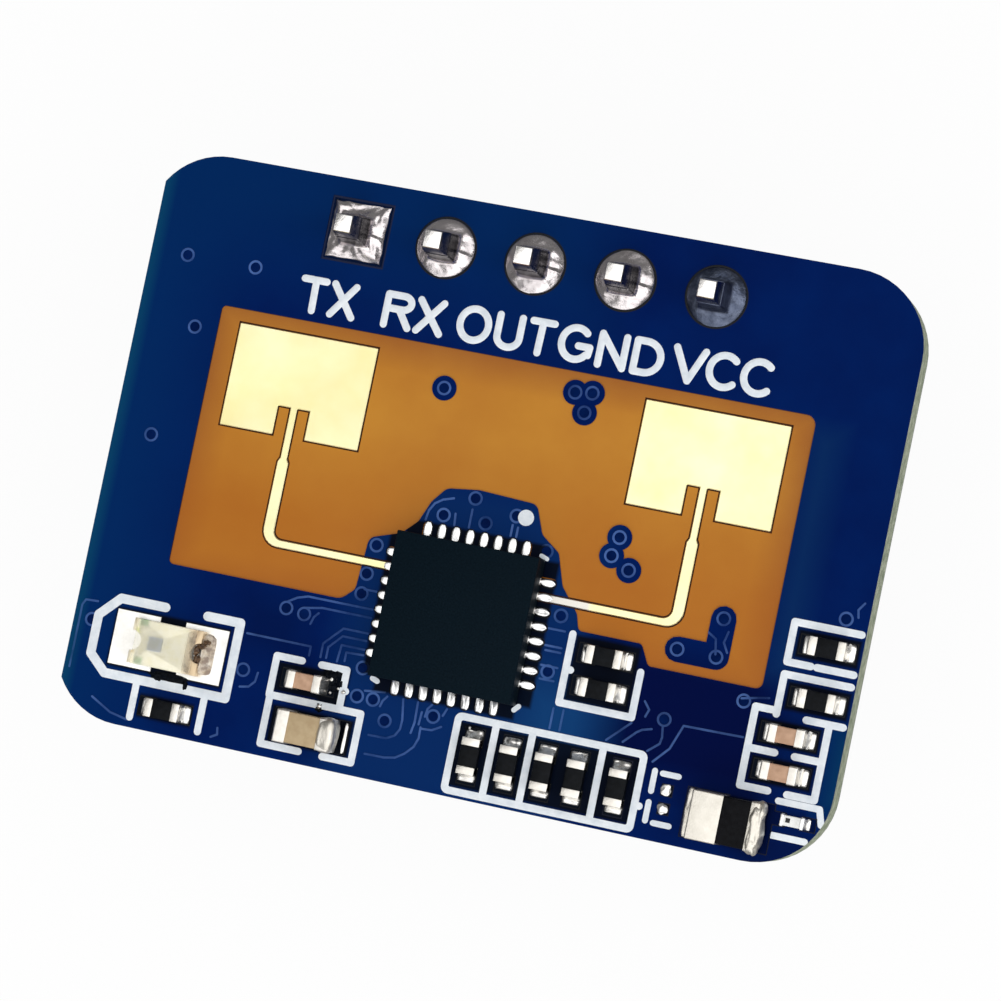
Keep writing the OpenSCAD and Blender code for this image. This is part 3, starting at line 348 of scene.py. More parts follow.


# %% [markdown]
# The laminate is glass cloth in resin. It shows amber in the bare window
# round the antennas, where light comes back through the yellow resin, and
# greenish grey at the sawn and routed edge. One mesh carries both, so the
# faces that look sideways get a second material by their index. The amber
# turns redder and darker towards the window's edges, partly its own tone and
# partly painted shade along the varnish's step. Under the chips the narrow
# gaps of bare laminate are in the dark: they, the bare laminate outside the
# window and that in the pair's frame are painted near black, and at the
# lower right corner and round the first pad navy, as painted shade.

# %% Laminate finishes
DARK = (7, 11, 19)
amber, tree, shader, place = finish(
    "amber_laminate", ((184, 116, 26), (196, 131, 36)), 3.0, (0.34, 0.44), specular=0.2, grain=0.12, depth=0.001)
antenna_low, antenna_high = box_mm("transmit_antenna")[0], box_mm("receive_antenna")[1]
chip_low, chip_high = box_mm("radar_chip_body")
chip_middle = (chip_low + chip_high) / 2
window_low = Vector((antenna_low.x - 0.62, chip_middle.y - 0.4))
window_high = Vector((antenna_high.x + 0.62, antenna_high.y + 0.39))
# Partly the resin's own tone, partly painted shade along the varnish's step: redder and darker towards the window's
# edges.
repaint(amber, opposite(tree, box_mask(tree, place, window_low, window_high, 0.9)), (132, 62, 22), 0.55)
repaint(amber, box_mask(tree, place, on_board(-2, -2), on_board(24, 9.5), 3.0), (170, 92, 2), 0.6)
# Painted shade: bare laminate outside the window, beside the chip's sides and in the pair's frame is painted near
# black.
repaint(amber, opposite(tree, box_mask(tree, place, window_low, window_high, 0.02)), DARK)
for grow in (Vector((0.46, -0.48)), Vector((-0.48, 0.46))):
    repaint(amber, box_mask(tree, place, chip_low.xy - grow, chip_high.xy + grow, 0.02), DARK)
pair_low, pair_high = box_mm("resistor_3")[0].xy - Vector((0.5, 0.1)), box_mm("resistor_2")[1].xy + Vector((0.5, 0.1))
repaint(amber, box_mask(tree, place, pair_low, pair_high, 0.02), DARK)
# Painted shade in navy at the lower right corner and round the first pad.
corner = [on_board(15.6, -0.5), on_board(24, 2.2)]
repaint(amber, box_mask(tree, place, *corner, 0.02), (2, 12, 46))
first_pad = middle_mm("header_pin_1").xy
repaint(amber, box_mask(tree, place, first_pad - Vector((1, 1)), first_pad + Vector((1, 1)), 0.02), (3, 20, 62))
edge_grey, edge_tree, edge_shader, edge_place = finish(
    "sawn_edge", ((140, 152, 126), (196, 202, 178)), 0.25, (0.6, 0.85), specular=0.2, grain=0.04, depth=0.01)
dress(amber, "laminate")
nodes["laminate"].data.materials.append(edge_grey)
for face in nodes["laminate"].data.polygons:
    face.material_index = 1 if abs(face.normal.z) < 0.5 else 0
print("laminate has", len(nodes["laminate"].data.polygons), "faces in two materials")

# %% [markdown]
# The solder mask is a blue varnish, and no two of its patches are alike:
# greener towards the left and the top, which is a painted sheen, with a
# painted highlight along the left edge; lighter round the chip where copper
# lies close beneath it, deep navy over the bare stretch at lower right. Each
# patch is a soft box. Buried tracks lift the varnish a little, and points
# above its face are painted a lighter, hazier blue as a painted highlight.
# The back has a plainer coat of its own.

# %% Varnish and its patches
back_varnish = finish("back_varnish", ((0, 26, 84), (1, 38, 98)), 4.0, (0.2, 0.3), specular=0.012, grain=0.3,
                      depth=0.0008)[0]
glaze(back_varnish, 0.6)
varnish, tree, shader, place = finish(
    "blue_varnish", ((0, 24, 82), (0, 30, 91)), 2.2, (0.2, 0.3), specular=0.012, grain=0.3, depth=0.0008)
glaze(varnish, 0.6)

# The first two patches are a painted sheen, the last a painted highlight along the left edge.
# Two corners from the board's left and sensor edges, soft rim, share and tone
PATCHES = [
    ((-4, -3), (3.6, 19), 3.0, 0.9, (1, 41, 96)),
    ((-4, 12), (14, 20), 3.0, 0.9, (1, 40, 93)),
    ((7, -1), (15, 9), 1.2, 0.85, (8, 44, 99)),
    ((14, 1), (20.2, 5.6), 1.2, 1.0, (1, 12, 62)),
    ((4.2, 2.2), (7, 4.8), 1.0, 0.8, (0, 20, 72)),
    ((18.8, 4.5), (20.4, 12), 0.8, 0.85, (8, 43, 93)),
    ((19, -1), (23, 1.4), 0.8, 0.8, (2, 18, 66)),
    ((12.1, 0.8), (15.9, 4.4), 1.5, 1.0, (16, 61, 114)),
    ((21.0, 1.4), (22.6, 4.2), 0.9, 0.8, (6, 60, 96)),
    ((-1, -1), (0.4, 17), 0.3, 0.8, (8, 66, 102)),
]
for low, high, rim, share, tone in PATCHES:
    repaint(varnish, box_mask(tree, place, on_board(*low), on_board(*high), rim), tone, share)
# Painted highlight: the raised tracks are painted a lighter blue, in patches.
ridge_highlight = product(tree, where_higher(tree, place, FRONT + 0.006, 0.003),
                 use_group(tree, drift, place, Per_metre=1 / (1.1 * MM), Low=0.15, High=1.0))
repaint(varnish, ridge_highlight, (88, 122, 188), 0.68)

# %% [markdown]
# Inside the printed frames the varnish is painted almost black: painted
# shade round the parts. Those rooms are read from the frame, each the box of
# its parts grown at their ends and at their sides.

# %% Painted shade round the parts


def room(names, ends, sides):
    """Corners of the space round chip parts that lie the same way."""
    boxes = [box_mm(name) for name in names]
    low = Vector((min(b[0].x for b in boxes), min(b[0].y for b in boxes)))
    high = Vector((max(b[1].x for b in boxes), max(b[1].y for b in boxes)))
    span = boxes[0][1] - boxes[0][0]
    grow = Vector((sides, ends)) if span.y > span.x else Vector((ends, sides))
    return low - grow, high + grow


ROOMS = [
    (["radar_chip_body"], 0.44, 0.04), (["radar_chip_body"], 0.04, 0.44), (["light_sensor_contacts"], 0.72, 0.25),
    ([f"resistor_{k}" for k in range(4, 9)], 0.47, 0.36), (["resistor_2", "resistor_3"], 0.48, 0.24),
    (["resistor_1"], 0.36, 0.12), (["resistor_9"], 0.44, 0.18), (["resistor_10"], 0.44, 0.18),
    (["capacitor_1"], 0.5, 0.24), (["capacitor_2"], 0.46, 0.14), (["capacitor_3"], 0.44, 0.18),
    (["capacitor_4"], 0.44, 0.18), (["ferrite_bead_body"], 0.1, 0.08),
]
# Painted shade in every room.
for names, ends, sides in ROOMS:
    low, high = room(names, ends, sides)
    repaint(varnish, box_mask(tree, place, low, high, 0.1), DARK, 0.95)
# A box to the right of the first capacitor is painted black as well.
low, high = box_mm("capacitor_1")
black_right_of_capacitor = box_mask(tree, place, high.xy - Vector((0.2, 0.75)), high.xy + Vector((0.72, 0.38)), 0.12)
repaint(varnish, black_right_of_capacitor, DARK, 0.95)
dress(varnish, "front_solder_mask")
dress(back_varnish, "back_solder_mask")
print("varnish has", len(PATCHES), "patches and", len(ROOMS), "dark rooms")

# %% [markdown]
# Antennas, lands and pads are copper with a gold wash. Right before the
# camera they are a pale yellow, nearly white. The square pad of the first
# pin lies bare where the solder shrank back from it and is painted dark
# navy there, as painted shade. The small lands are painted dark too, but for
# the light sensor's, and navy under the bead and the marked chip, as painted
# shade. The solder on the pins is painted dark where it climbs them, as
# painted shade.

# %% Metal finishes


def metal(name, tones, patch, gloss, grain, depth):
    return finish(name, tones, patch, gloss, metal=1.0, specular=0.02, grain=grain, depth=depth)[0]


gold = metal("pale_gold", ((250, 240, 178), (255, 248, 200)), 1.6, (0.34, 0.46), 0.03, 0.0006)
land_tin = metal("tinned_land", ((232, 230, 224), (250, 248, 243)), 0.4, (0.25, 0.4), 0.05, 0.0012)
shaded_land_tin = metal("shaded_land", ((232, 230, 224), (250, 248, 243)), 0.4, (0.25, 0.4), 0.05, 0.0012)
pad_tin = metal("tinned_pad", ((205, 203, 198), (236, 234, 228)), 0.4, (0.25, 0.42), 0.05, 0.002)
solder = metal("solder", ((212, 204, 205), (236, 229, 229)), 0.5, (0.2, 0.34), 0.08, 0.003)
fillet_tin = metal("fillet_tin", ((232, 229, 224), (248, 246, 241)), 0.3, (0.26, 0.38), 0.05, 0.0015)
dull_solder = metal("dull_solder", ((70, 78, 98), (112, 120, 140)), 0.3, (0.3, 0.5), 0.08, 0.006)
toe_tin = metal("toe_tin", ((246, 246, 246), (253, 253, 253)), 0.3, (0.26, 0.36), 0.1, 0.002)
end_tin = metal("end_tin", ((226, 221, 212), (242, 238, 230)), 0.2, (0.3, 0.44), 0.04, 0.002)
bead_tin = metal("bead_tin", ((216, 211, 200), (228, 223, 213)), 0.3, (0.34, 0.46), 0.05, 0.003)
pin_tin = metal("pin_tin", ((236, 232, 228), (250, 247, 244)), 0.5, (0.2, 0.34), 0.1, 0.002)
can_tin = metal("can_tin", ((196, 197, 200), (222, 223, 226)), 0.9, (0.2, 0.34), 0.06, 0.001)
tinned = box_mask(gold.node_tree, gold.node_tree.nodes["Texture Coordinate"].outputs["Object"],
                  on_board(12.6, 5.4), on_board(14.3, 6.2), 0.15)
repaint(gold, tinned, (222, 218, 210))
# Painted shade on the first pin's bare pad.
pad_one_shade = box_mask(pad_tin.node_tree, pad_tin.node_tree.nodes["Texture Coordinate"].outputs["Object"],
                  first_pad - Vector((1, 1)), first_pad + Vector((1, 1)), 0.02)
repaint(pad_tin, pad_one_shade, (8, 20, 46))
# Painted shade: the small lands are dark, but for the light sensor's.
sensor_lands_unshaded = box_mask(shaded_land_tin.node_tree, shaded_land_tin.node_tree.nodes["Texture Coordinate"].outputs["Object"],
                 *room(["light_sensor_contacts"], 0.75, 0.3), 0.02)
repaint(shaded_land_tin, opposite(shaded_land_tin.node_tree, sensor_lands_unshaded), (12, 16, 24))
# Painted shade in navy on the lands under the bead and the marked chip.
shade_under_bead = box_mask(shaded_land_tin.node_tree, shaded_land_tin.node_tree.nodes["Texture Coordinate"].outputs["Object"],
                      *room(["ferrite_bead_body", "filter_chip_body"], 0.6, 0.4), 0.02)
repaint(shaded_land_tin, shade_under_bead, (4, 14, 50))
# Painted shade on the pins' solder where it climbs them.
collar_shade = where_higher(solder.node_tree, solder.node_tree.nodes["Texture Coordinate"].outputs["Object"],
                      FRONT + 0.3, 0.05)
repaint(solder, collar_shade, (42, 41, 46))
dress(shaded_land_tin, "front_lands")
dress(land_tin, "back_lands")
dress(pad_tin, "hole_plating")

# %% [markdown]
# The antennas were etched out of the copper, which leaves a sloping flank.
# A dark rim round every patch and feed is painted shade: from above it is
# the thin dark line round them. The rim is a copy of the antenna, pressed
# flat and grown: each point moves out along the mean of its two sides'
# directions.

# %% Etched antennas
add_piece("left_patch", soften(node_copy("transmit_antenna"), 0.026, 1), gold, "antenna_gold", "transmit_antenna",
          smooth=0)
add_piece("right_patch", soften(node_copy("receive_antenna"), 0.026, 1), gold, "antenna_gold", "receive_antenna",
          smooth=0)


def shade_rim(name, width, high):
    """Flat copy of a plate that stands out round it by a width."""
    bm = node_copy(name)
    foot = box_mm(name)[0].z
    moves = {}
    for v in bm.verts:
        sides = [f.normal for f in v.link_faces if abs(f.normal.z) < 0.5]
        moves[v] = width * (sides[0] + sides[-1]) / max(0.5, 1 + sides[0].dot(sides[-1]))
    for v, move in moves.items():
        v.co += move
        v.co.z = foot + (high if v.co.z > foot + 0.01 else -0.01)
    return bm


# Painted shade: a dark brown sheet round the antennas.
etch_shade = finish("etch_shade", ((44, 22, 6), (70, 34, 8)), 0.3, (0.4, 0.6), specular=0.1, grain=0.05,
                       depth=0.001)[0]
add_piece("left_patch_shade_rim", shade_rim("transmit_antenna", 0.042, 0.004), etch_shade, "laminate", smooth=20)
add_piece("right_patch_shade_rim", shade_rim("receive_antenna", 0.042, 0.004), etch_shade, "laminate", smooth=20)

# %% [markdown]
# The rest are moulded or fired pieces: epoxy, black and tan ceramic, cream
# laminate and the ink of the print, which lies on the varnish as thin
# lines with rounded rims.

# %% Dull finishes
ink = finish("print_ink", ((220, 228, 236), (240, 245, 250)), 0.3, (0.5, 0.7), specular=0.2, grain=0.06, depth=0.004)[0]
mould = finish("chip_mould", ((5, 17, 25), (11, 25, 34)), 0.05, (0.5, 0.65), specular=0.03, grain=0.02, depth=0.002)[0]
glaze(mould, 0.25, 0.4)
resistor_coat = finish("resistor_coat", ((3, 5, 8), (13, 16, 21)), 0.15, (0.3, 0.5), specular=0.1, grain=0.03,
                       depth=0.002)[0]
tan_ceramic = finish("tan_ceramic", ((182, 144, 116), (202, 164, 136)), 0.2, (0.4, 0.6), specular=0.3, grain=0.03,
                     depth=0.002)[0]
large_tan = finish("large_tan", ((178, 154, 118), (192, 170, 134)), 0.25, (0.4, 0.6), specular=0.3, grain=0.04,
                   depth=0.002)[0]
ferrite = finish("ferrite", ((3, 3, 6), (13, 14, 18)), 0.12, (0.35, 0.55), specular=0.08, grain=0.03, depth=0.003)[0]
strip_black = finish("strip_plastic", ((14, 14, 16), (24, 24, 27)), 0.4, (0.42, 0.58), specular=0.4, grain=0.05,
                     depth=0.004)[0]
crystal_brown = finish("crystal_ceramic", ((120, 108, 90), (150, 138, 116)), 0.3, (0.5, 0.7), grain=0.04,
                       depth=0.003)[0]
regulator_mould = finish("regulator_mould", ((22, 22, 24), (36, 36, 39)), 0.06, (0.5, 0.65), specular=0.35,
                         grain=0.03, depth=0.003)[0]
add_piece("print_lines", soften(node_copy("legend_print"), 0.009, 1), ink, "print_white", "legend_print")

# %% [markdown]
# The header's strip is one moulding with a place for each pin, and the
# pins are square wire, tapered below and cut above. Both keep the CAD's
# shape with their edges softened, since a real edge catches some light.
# Above the solder the wire narrows, as the cutter drew it in.

# %% Header strip and pins
add_piece("strip_moulding", soften(node_copy("header_strip"), 0.06), strip_black, "strip_plastic", "header_strip")
JOINT_HIGH = box_mm("pin_solder")[1].z - FRONT
PIN_TOP = box_mm("header_pin_1")[1].z
pin_place = pin_tin.node_tree.nodes["Texture Coordinate"].outputs["Object"]
# Painted shade: the pins' sides between the solder and the cut top are painted grey.
flank = product(pin_tin.node_tree, where_higher(pin_tin.node_tree, pin_place, FRONT + JOINT_HIGH, 0.05),
                opposite(pin_tin.node_tree, where_higher(pin_tin.node_tree, pin_place, PIN_TOP - 0.02, 0.008)))
repaint(pin_tin, flank, (124, 122, 126))
pin_nodes = [n for n in sorted(nodes) if n.startswith("header_pin_")]
for name in pin_nodes:
    wire = node_copy(name)
    middle, top = middle_mm(name), box_mm(name)[1].z
    shoulder = FRONT + JOINT_HIGH - 0.04
    bmesh.ops.bisect_plane(wire, geom=wire.verts[:] + wire.edges[:] + wire.faces[:], dist=1e-5,
                           plane_co=(0, 0, shoulder), plane_no=(0, 0, 1))
    for v in wire.verts:
        if v.co.z > shoulder + 0.01:
            drawn = 0.9 if v.co.z > top - 0.01 else 0.79
            v.co.x = middle.x + (v.co.x - middle.x) * drawn
            v.co.y = middle.y + (v.co.y - middle.y) * drawn
    add_piece(name.replace("header_pin", "pin_wire"), soften(wire, 0.012), pin_tin, "pin_metal", name)
print("solder climbs the pins by", round(JOINT_HIGH, 3), "mm, pin tips stand", round(top - FRONT, 3), "mm proud")

# %% [markdown]
# Each pin's solder is a shallow cone on its pad that turns up sharply at
# the pin. Its half section is spun into a closed shape. Then the rings are
# moved: the foot follows its pad, the neck turns square like the pin, and
# noise makes each joint its own. The first joint shrank to a crumpled star
# with a spike to each corner of its pad; the last one stayed dull.

# %% Solder on the pins
PIN_HALF = 0.32
NECK = 0.345


def squareness(angle, power):
    """Radius of a square with rounded corners at an angle, for a half side of 1."""
    return (abs(math.cos(angle)) ** power + abs(math.sin(angle)) ** power) ** (-1 / power)


def star(angle):
    """Outline of the shrunken joint: hollow sides and a spike at each corner."""
    off_corner = abs((angle % (math.pi / 2)) - math.pi / 4)
    return squareness(angle, 5) * (1 - 0.05 * math.cos(2 * angle) ** 2) + 0.16 * math.exp(-(off_corner / 0.07) ** 2)


def joint_height(q):
    """Height of a joint between its rim, q = 0, and the pin, q = 1."""
    return 0.22 * q ** 0.8 + (JOINT_HIGH - 0.22) * q ** 14


def pin_joint(middle, foot, outline, crumple, streak, seed):
    bm = bmesh.new()
    section = [(0, -0.3), (0.48, -0.3), (0.48, -0.01), (foot, -0.01)]
    section += [(foot + (NECK - foot) * i / 24, joint_height(i / 24)) for i in range(25)]
    section.append((0, JOINT_HIGH))
    verts = [bm.verts.new((r, 0, z)) for r, z in section]
    edges = [bm.edges.new(pair) for pair in zip(verts, verts[1:])]
    bmesh.ops.spin(bm, geom=verts + edges, cent=(0, 0, 0), axis=(0, 0, 1), angle=math.tau, steps=96, use_merge=True)
    bmesh.ops.remove_doubles(bm, verts=bm.verts, dist=1e-5)
    bmesh.ops.recalc_face_normals(bm, faces=bm.faces)
    for v in bm.verts:
        radius, angle = math.hypot(v.co.x, v.co.y), math.atan2(v.co.y, v.co.x)
        if radius < NECK - 0.01 or v.co.z < -0.1 or (v.co.z < 0 and radius < 0.5):
            continue
        q = min(1, max(0, (foot - radius) / (foot - NECK)))
        wide = outline(angle) * (1 - q) + squareness(angle, 14) * (PIN_HALF + 0.008) / NECK * q
        wave = noise.noise(Vector((v.co.x * 2, v.co.y * 2, seed)))
        fine = noise.noise(Vector((v.co.x * 6, v.co.y * 6, seed)))
        swell = math.sin(math.pi * q) ** 0.7
        v.co.x *= wide
        v.co.y *= wide
        if v.co.z > 0:
            ridge = streak * math.exp(-((angle + 0.2) / 0.1) ** 2)
            v.co.z = max(0.004, v.co.z + swell * (crumple * (wave + 0.35 * fine) + ridge))
    bmesh.ops.translate(bm, vec=(middle.x, middle.y, FRONT), verts=bm.verts)
    return bm


for i, name in enumerate(pin_nodes):
    first, last = i == 0, i == len(pin_nodes) - 1
    bm = pin_joint(middle_mm(name), 0.812, star if first else (lambda angle: 1), 0.13 if first else 0.05,
                   0 if last else 0.07, seed=11.3 + 7 * i)
    add_piece(f"pin_joint_{i + 1}", bm, dull_solder if last else solder, "solder", "pin_solder", smooth=50)

# %% [markdown]
# The radar chip is a flat moulded square without legs. Its body is a
# bevelled box; the terminals show as small plates at the foot of its four
# sides, a hundredth of a millimetre proud of the mould.

# %% Radar chip body and terminals


def soft_block(low, high, width, segments=3):
    """Box between two corners with softened edges."""
    bm = bmesh.new()
    bmesh.ops.create_cube(bm, size=1.0)
    bmesh.ops.scale(bm, vec=high - low, verts=bm.verts)
    bmesh.ops.translate(bm, vec=(low + high) / 2, verts=bm.verts)
    return soften(bm, width, segments)


add_piece("chip_moulding", soft_block(chip_low, chip_high, 0.03), mould, "chip_mould", "radar_chip_body")

PITCH, TERMINALS = 0.4, 8
terminal_low, terminal_high = box_mm("radar_chip_terminals")
terminal_size = Vector((0.41, 0.2, terminal_high.z - terminal_low.z))
plates = bmesh.new()
for side in range(4):
    turn = Matrix.Rotation(side * math.pi / 2, 4, "Z")
    for i in range(TERMINALS):
        centre = Vector((chip_high.x - chip_middle.x + 0.01 - terminal_size.x / 2,
                         (i - (TERMINALS - 1) / 2) * PITCH, (terminal_low.z + terminal_high.z) / 2))
        plate = soft_block(centre - terminal_size / 2, centre + terminal_size / 2, 0.02, 2)
        merge_into(plates, plate, Matrix.Translation((chip_middle.x, chip_middle.y, 0)) @ turn)
add_piece("chip_terminal_plates", plates, land_tin, "land_metal", "radar_chip_terminals")

# %% [markdown]
# Solder on a land is a small pool that climbs the part's metal end. One
# function makes every such tongue: a grid is bent to a pool with a rounded
# tip, hollow towards the part, then its rim is drawn down and closed. On
# the chip the four sides wetted differently: flat pools above and on the
# left, creased ones on the right, leaning ones below.

# %% Tongues of solder


def tongue(length, width, high, pool, seed, steep=3.0, cuts=12, unevenness=0.15, crease=0.0, lean=0.0, dip=0.0,
           oval=0.0):
    """Pool of solder from the part's end at x = 0 to its tip at x = length.

    A crease runs along it and a dip across it; lean lowers one of its flanks,
    and oval draws its two ends in.
    """
    bm = bmesh.new()
    bmesh.ops.create_grid(bm, x_segments=cuts, y_segments=cuts, size=0.5)
    for v in bm.verts:
        u, s = v.co.x + 0.5, 2 * v.co.y
        flank = max(0, 1 - abs(s) ** 5) ** 0.6 * (1 - lean * max(0, s + 0.1))
        wave = noise.noise(Vector((u * 1.7 + seed, s * 1.3, seed * 0.7)))
        climb = high * (1 - u) ** steep
        flat = pool * max(0, 1 - u ** 6) ** 0.6 * (1 + 2 * unevenness * wave)
        furrow = crease * math.exp(-(s / 0.22) ** 2) * (1 - u ** 4) + dip * math.exp(-((u - 0.2) / 0.12) ** 2)
        v.co.x = length * u * (1 - 0.08 * abs(s) ** 5 * u)
        v.co.y = width / 2 * s * (1 - 0.08 * u ** 4) * (1 + 0.4 * unevenness * wave * u) * (1 - oval * (2 * u - 1) ** 4)
        v.co.z = max(0.0, (climb * (1 + unevenness * wave) + flat) * flank - furrow)
    rim = [e for e in bm.edges if e.is_boundary]
    drawn = bmesh.ops.extrude_edge_only(bm, edges=rim)["geom"]
    bmesh.ops.translate(bm, vec=(0, 0, -0.01), verts=[g for g in drawn if isinstance(g, bmesh.types.BMVert)])
    bmesh.ops.edgeloop_fill(bm, edges=[g for g in drawn if isinstance(g, bmesh.types.BMEdge)])
    bmesh.ops.recalc_face_normals(bm, faces=bm.faces)
    return bm


TOE = 0.4
WETTING = [dict(high=0.16, pool=0.05, crease=0.045, oval=0.6), dict(high=0.0, pool=0.014, oval=0.25),
           dict(high=0.0, pool=0.014, oval=0.25), dict(high=0.14, pool=0.08, lean=0.9, oval=0.15)]
toes = bmesh.new()
for side in range(4):
    turn = Matrix.Rotation(side * math.pi / 2, 4, "Z")
    for i in range(TERMINALS):
        start = Matrix.Translation((chip_high.x - chip_middle.x, (i - (TERMINALS - 1) / 2) * PITCH, FRONT))
        place = Matrix.Translation((chip_middle.x, chip_middle.y, 0)) @ turn @ start
        merge_into(toes, tongue(TOE - 0.01, 0.22, seed=3.1 * side + 1.7 * i, steep=4, **WETTING[side]), place)
add_piece("chip_toes", toes, toe_tin, "solder", "chip_solder", smooth=60)

# %% [markdown]
# Resistors and capacitors are small fired blocks with metal ends. The CAD
# holds the block and its ends apart, and both stay so here: copies with
# softened edges, since light on those edges is most of what one sees of them.

# %% Small chip parts
for name in sorted(nodes):
    if name.startswith("resistor_") and name != "resistor_ends":
        add_piece(name + "_block", soften(node_copy(name), 0.02), resistor_coat, "resistor_black", name)
    if name.startswith("capacitor_") and name != "capacitor_ends":
        coat = large_tan if name in ("capacitor_2", "capacitor_7", "capacitor_8") else tan_ceramic
        add_piece(name + "_block", soften(node_copy(name), 0.03), coat, "capacitor_tan", name)
add_piece("resistor_end_caps", soften(node_copy("resistor_ends"), 0.02), end_tin, "end_metal", "resistor_ends")
add_piece("capacitor_end_caps", soften(node_copy("capacitor_ends"), 0.03, 3), end_tin, "end_metal", "capacitor_ends")
add_piece("back_capacitor_end_caps", soften(node_copy("back_capacitor_ends"), 0.012), end_tin, "end_metal",
          "back_capacitor_ends")
add_piece("bead_block", soften(node_copy("ferrite_bead_body"), 0.03), ferrite, "bead_black", "ferrite_bead_body")
add_piece("bead_end_caps", soften(node_copy("ferrite_bead_ends"), 0.012), bead_tin, "end_metal", "ferrite_bead_ends")

# %% [markdown]
# The smallest part is a white chip with a square black mark at one end.
# The mark is a box in its finish, placed from the block's own corner.

# %% Marked chip in the corner
filter_low, filter_high = box_mm("filter_chip_body")
white_ceramic, tree, shader, place = finish(
    "white_ceramic", ((226, 226, 222), (248, 248, 246)), 0.15, (0.35, 0.5), grain=0.03, depth=0.001)
mark = filter_low.xy + Vector((0.12, 0.09))
repaint(white_ceramic, box_mask(tree, place, mark, mark + Vector((0.13, 0.13)), 0.008), (12, 10, 10))
add_piece("filter_block", soften(node_copy("filter_chip_body"), 0.02), white_ceramic, "filter_white",
          "filter_chip_body")
add_piece("filter_end_caps", soften(node_copy("filter_chip_ends"), 0.012), toe_tin, "end_metal", "filter_chip_ends")

# %% [markdown]
# The tongues at these parts' ends sit where the CAD has its fillets. Where
# each part is and which way it lies is read from its block in the frame.
# The right ends have a fuller pool than the left ones, the lower ends a
# fuller one than the upper. A crumpled skin of solder covers the right ends
# of the large capacitor and the bead.
# Two lands were left empty; the tin on them drew up into small lumps, and
# a few beads of it lie about in the flux.

# %% Solder at the parts' ends
RIGHT = dict(length=0.25, high=0.12, pool=0.06, steep=5, dip=0.05)
LEFT = dict(length=0.17, high=0.3, pool=0.045, steep=9)
UPPER = dict(length=0.24, high=0.2, pool=0.06, steep=3, unevenness=0.5)
LOWER = dict(length=0.2, high=0.12, pool=0.07, steep=5, dip=0.04)


def end_tongues(bm, name, side_cover, first=RIGHT, second=LEFT, end_cover=0.03, **changes):
    """Tongues at the ends of a block on the board's front: right and left, or upper and lower."""
    low, high = box_mm(name)
    span = high - low
    along_y = span.y > span.x
    centre = (low + high) / 2
    for k, pool in enumerate((first, second)):
        if pool is None:
            continue
        turn = Matrix.Rotation((k + (0.5 if along_y else 0)) * math.pi, 4, "Z")
        shape = tongue(width=min(span.x, span.y) + 2 * side_cover, seed=centre.x * 3.3 + centre.y * 1.9 + 5 * k,
                       **{**pool, **changes})
        out = Matrix.Translation((max(span.x, span.y) / 2 + end_cover, 0, 0))
        merge_into(bm, shape, Matrix.Translation((centre.x, centre.y, FRONT)) @ turn @ out)


def crumpled_cover(low, high, seed, depth, ripple):
    """Wrinkled skin of solder over a part's end: a rounded block between two corners."""
    bm = bmesh.new()
    bmesh.ops.create_icosphere(bm, subdivisions=5, radius=1)
    half = (high - low) / 2
    for v in bm.verts:
        outward = v.co.normalized()
        place = Vector([math.copysign(math.sqrt(abs(c)), c) * h for c, h in zip(v.co, half)])
        wave = noise.noise(Vector((place.x * ripple[0], place.y * ripple[1], place.z * 2 + seed)))
        fine = noise.noise(Vector((place.x * ripple[0] * 2.3, place.y * ripple[1] * 2.3, place.z * 3 - seed)))
        v.co = place + outward * depth * (wave + 0.4 * fine)
    bmesh.ops.translate(bm, vec=(low + high) / 2, verts=bm.verts)
    return bm


joints = bmesh.new()
for name in sorted(nodes):
    if name.startswith("resistor_") and name != "resistor_ends":
        upright = name in [f"resistor_{k}" for k in range(4, 9)]
        end_tongues(joints, name, 0, *((UPPER, LOWER) if upright else (RIGHT, LEFT)))
end_tongues(joints, "capacitor_1", 0.02, dict(length=0.1, high=0.5, pool=0.03, steep=1.4))
end_tongues(joints, "capacitor_2", 0.02, None)
end_tongues(joints, "capacitor_2", 0.0, dict(length=0.09, high=0.0, pool=0.05), None, end_cover=0.2)
end_tongues(joints, "capacitor_3", 0.02, dip=0.09)
end_tongues(joints, "capacitor_4", 0.02, dip=0.09)
end_tongues(joints, "filter_chip_body", 0.02, dict(length=0.14, high=0.1, pool=0.03), None)

# Lumps and beads of tin: place on the board and radius
LUMPS = [(17.26, 1.4, 0.15), (17.26, 0.9, 0.15), (7.62, 2.44, 0.05), (7.66, 2.08, 0.04), (7.86, 2.23, 0.04),
         (8.02, 2.17, 0.06), (7.43, 1.65, 0.06), (11.67, 1.94, 0.04), (12.0, 1.86, 0.05)]
for k, (x, y, radius) in enumerate(LUMPS):
    lump = bmesh.new()
    bmesh.ops.create_icosphere(lump, subdivisions=4, radius=radius)
    for v in lump.verts:
        v.co *= 1 + 0.35 * noise.noise(v.co / radius * 1.2 + Vector((0, 0, 7 * k)))
        v.co.z *= 0.35 if radius > 0.1 else 0.8
    merge_into(joints, lump, Matrix.Translation((*on_board(x, y), FRONT + (0.005 if radius > 0.1 else 0.03))))
bmesh.ops.recalc_face_normals(joints, faces=joints.faces)
add_piece("front_joints", joints, fillet_tin, "solder", "front_solder", smooth=60)

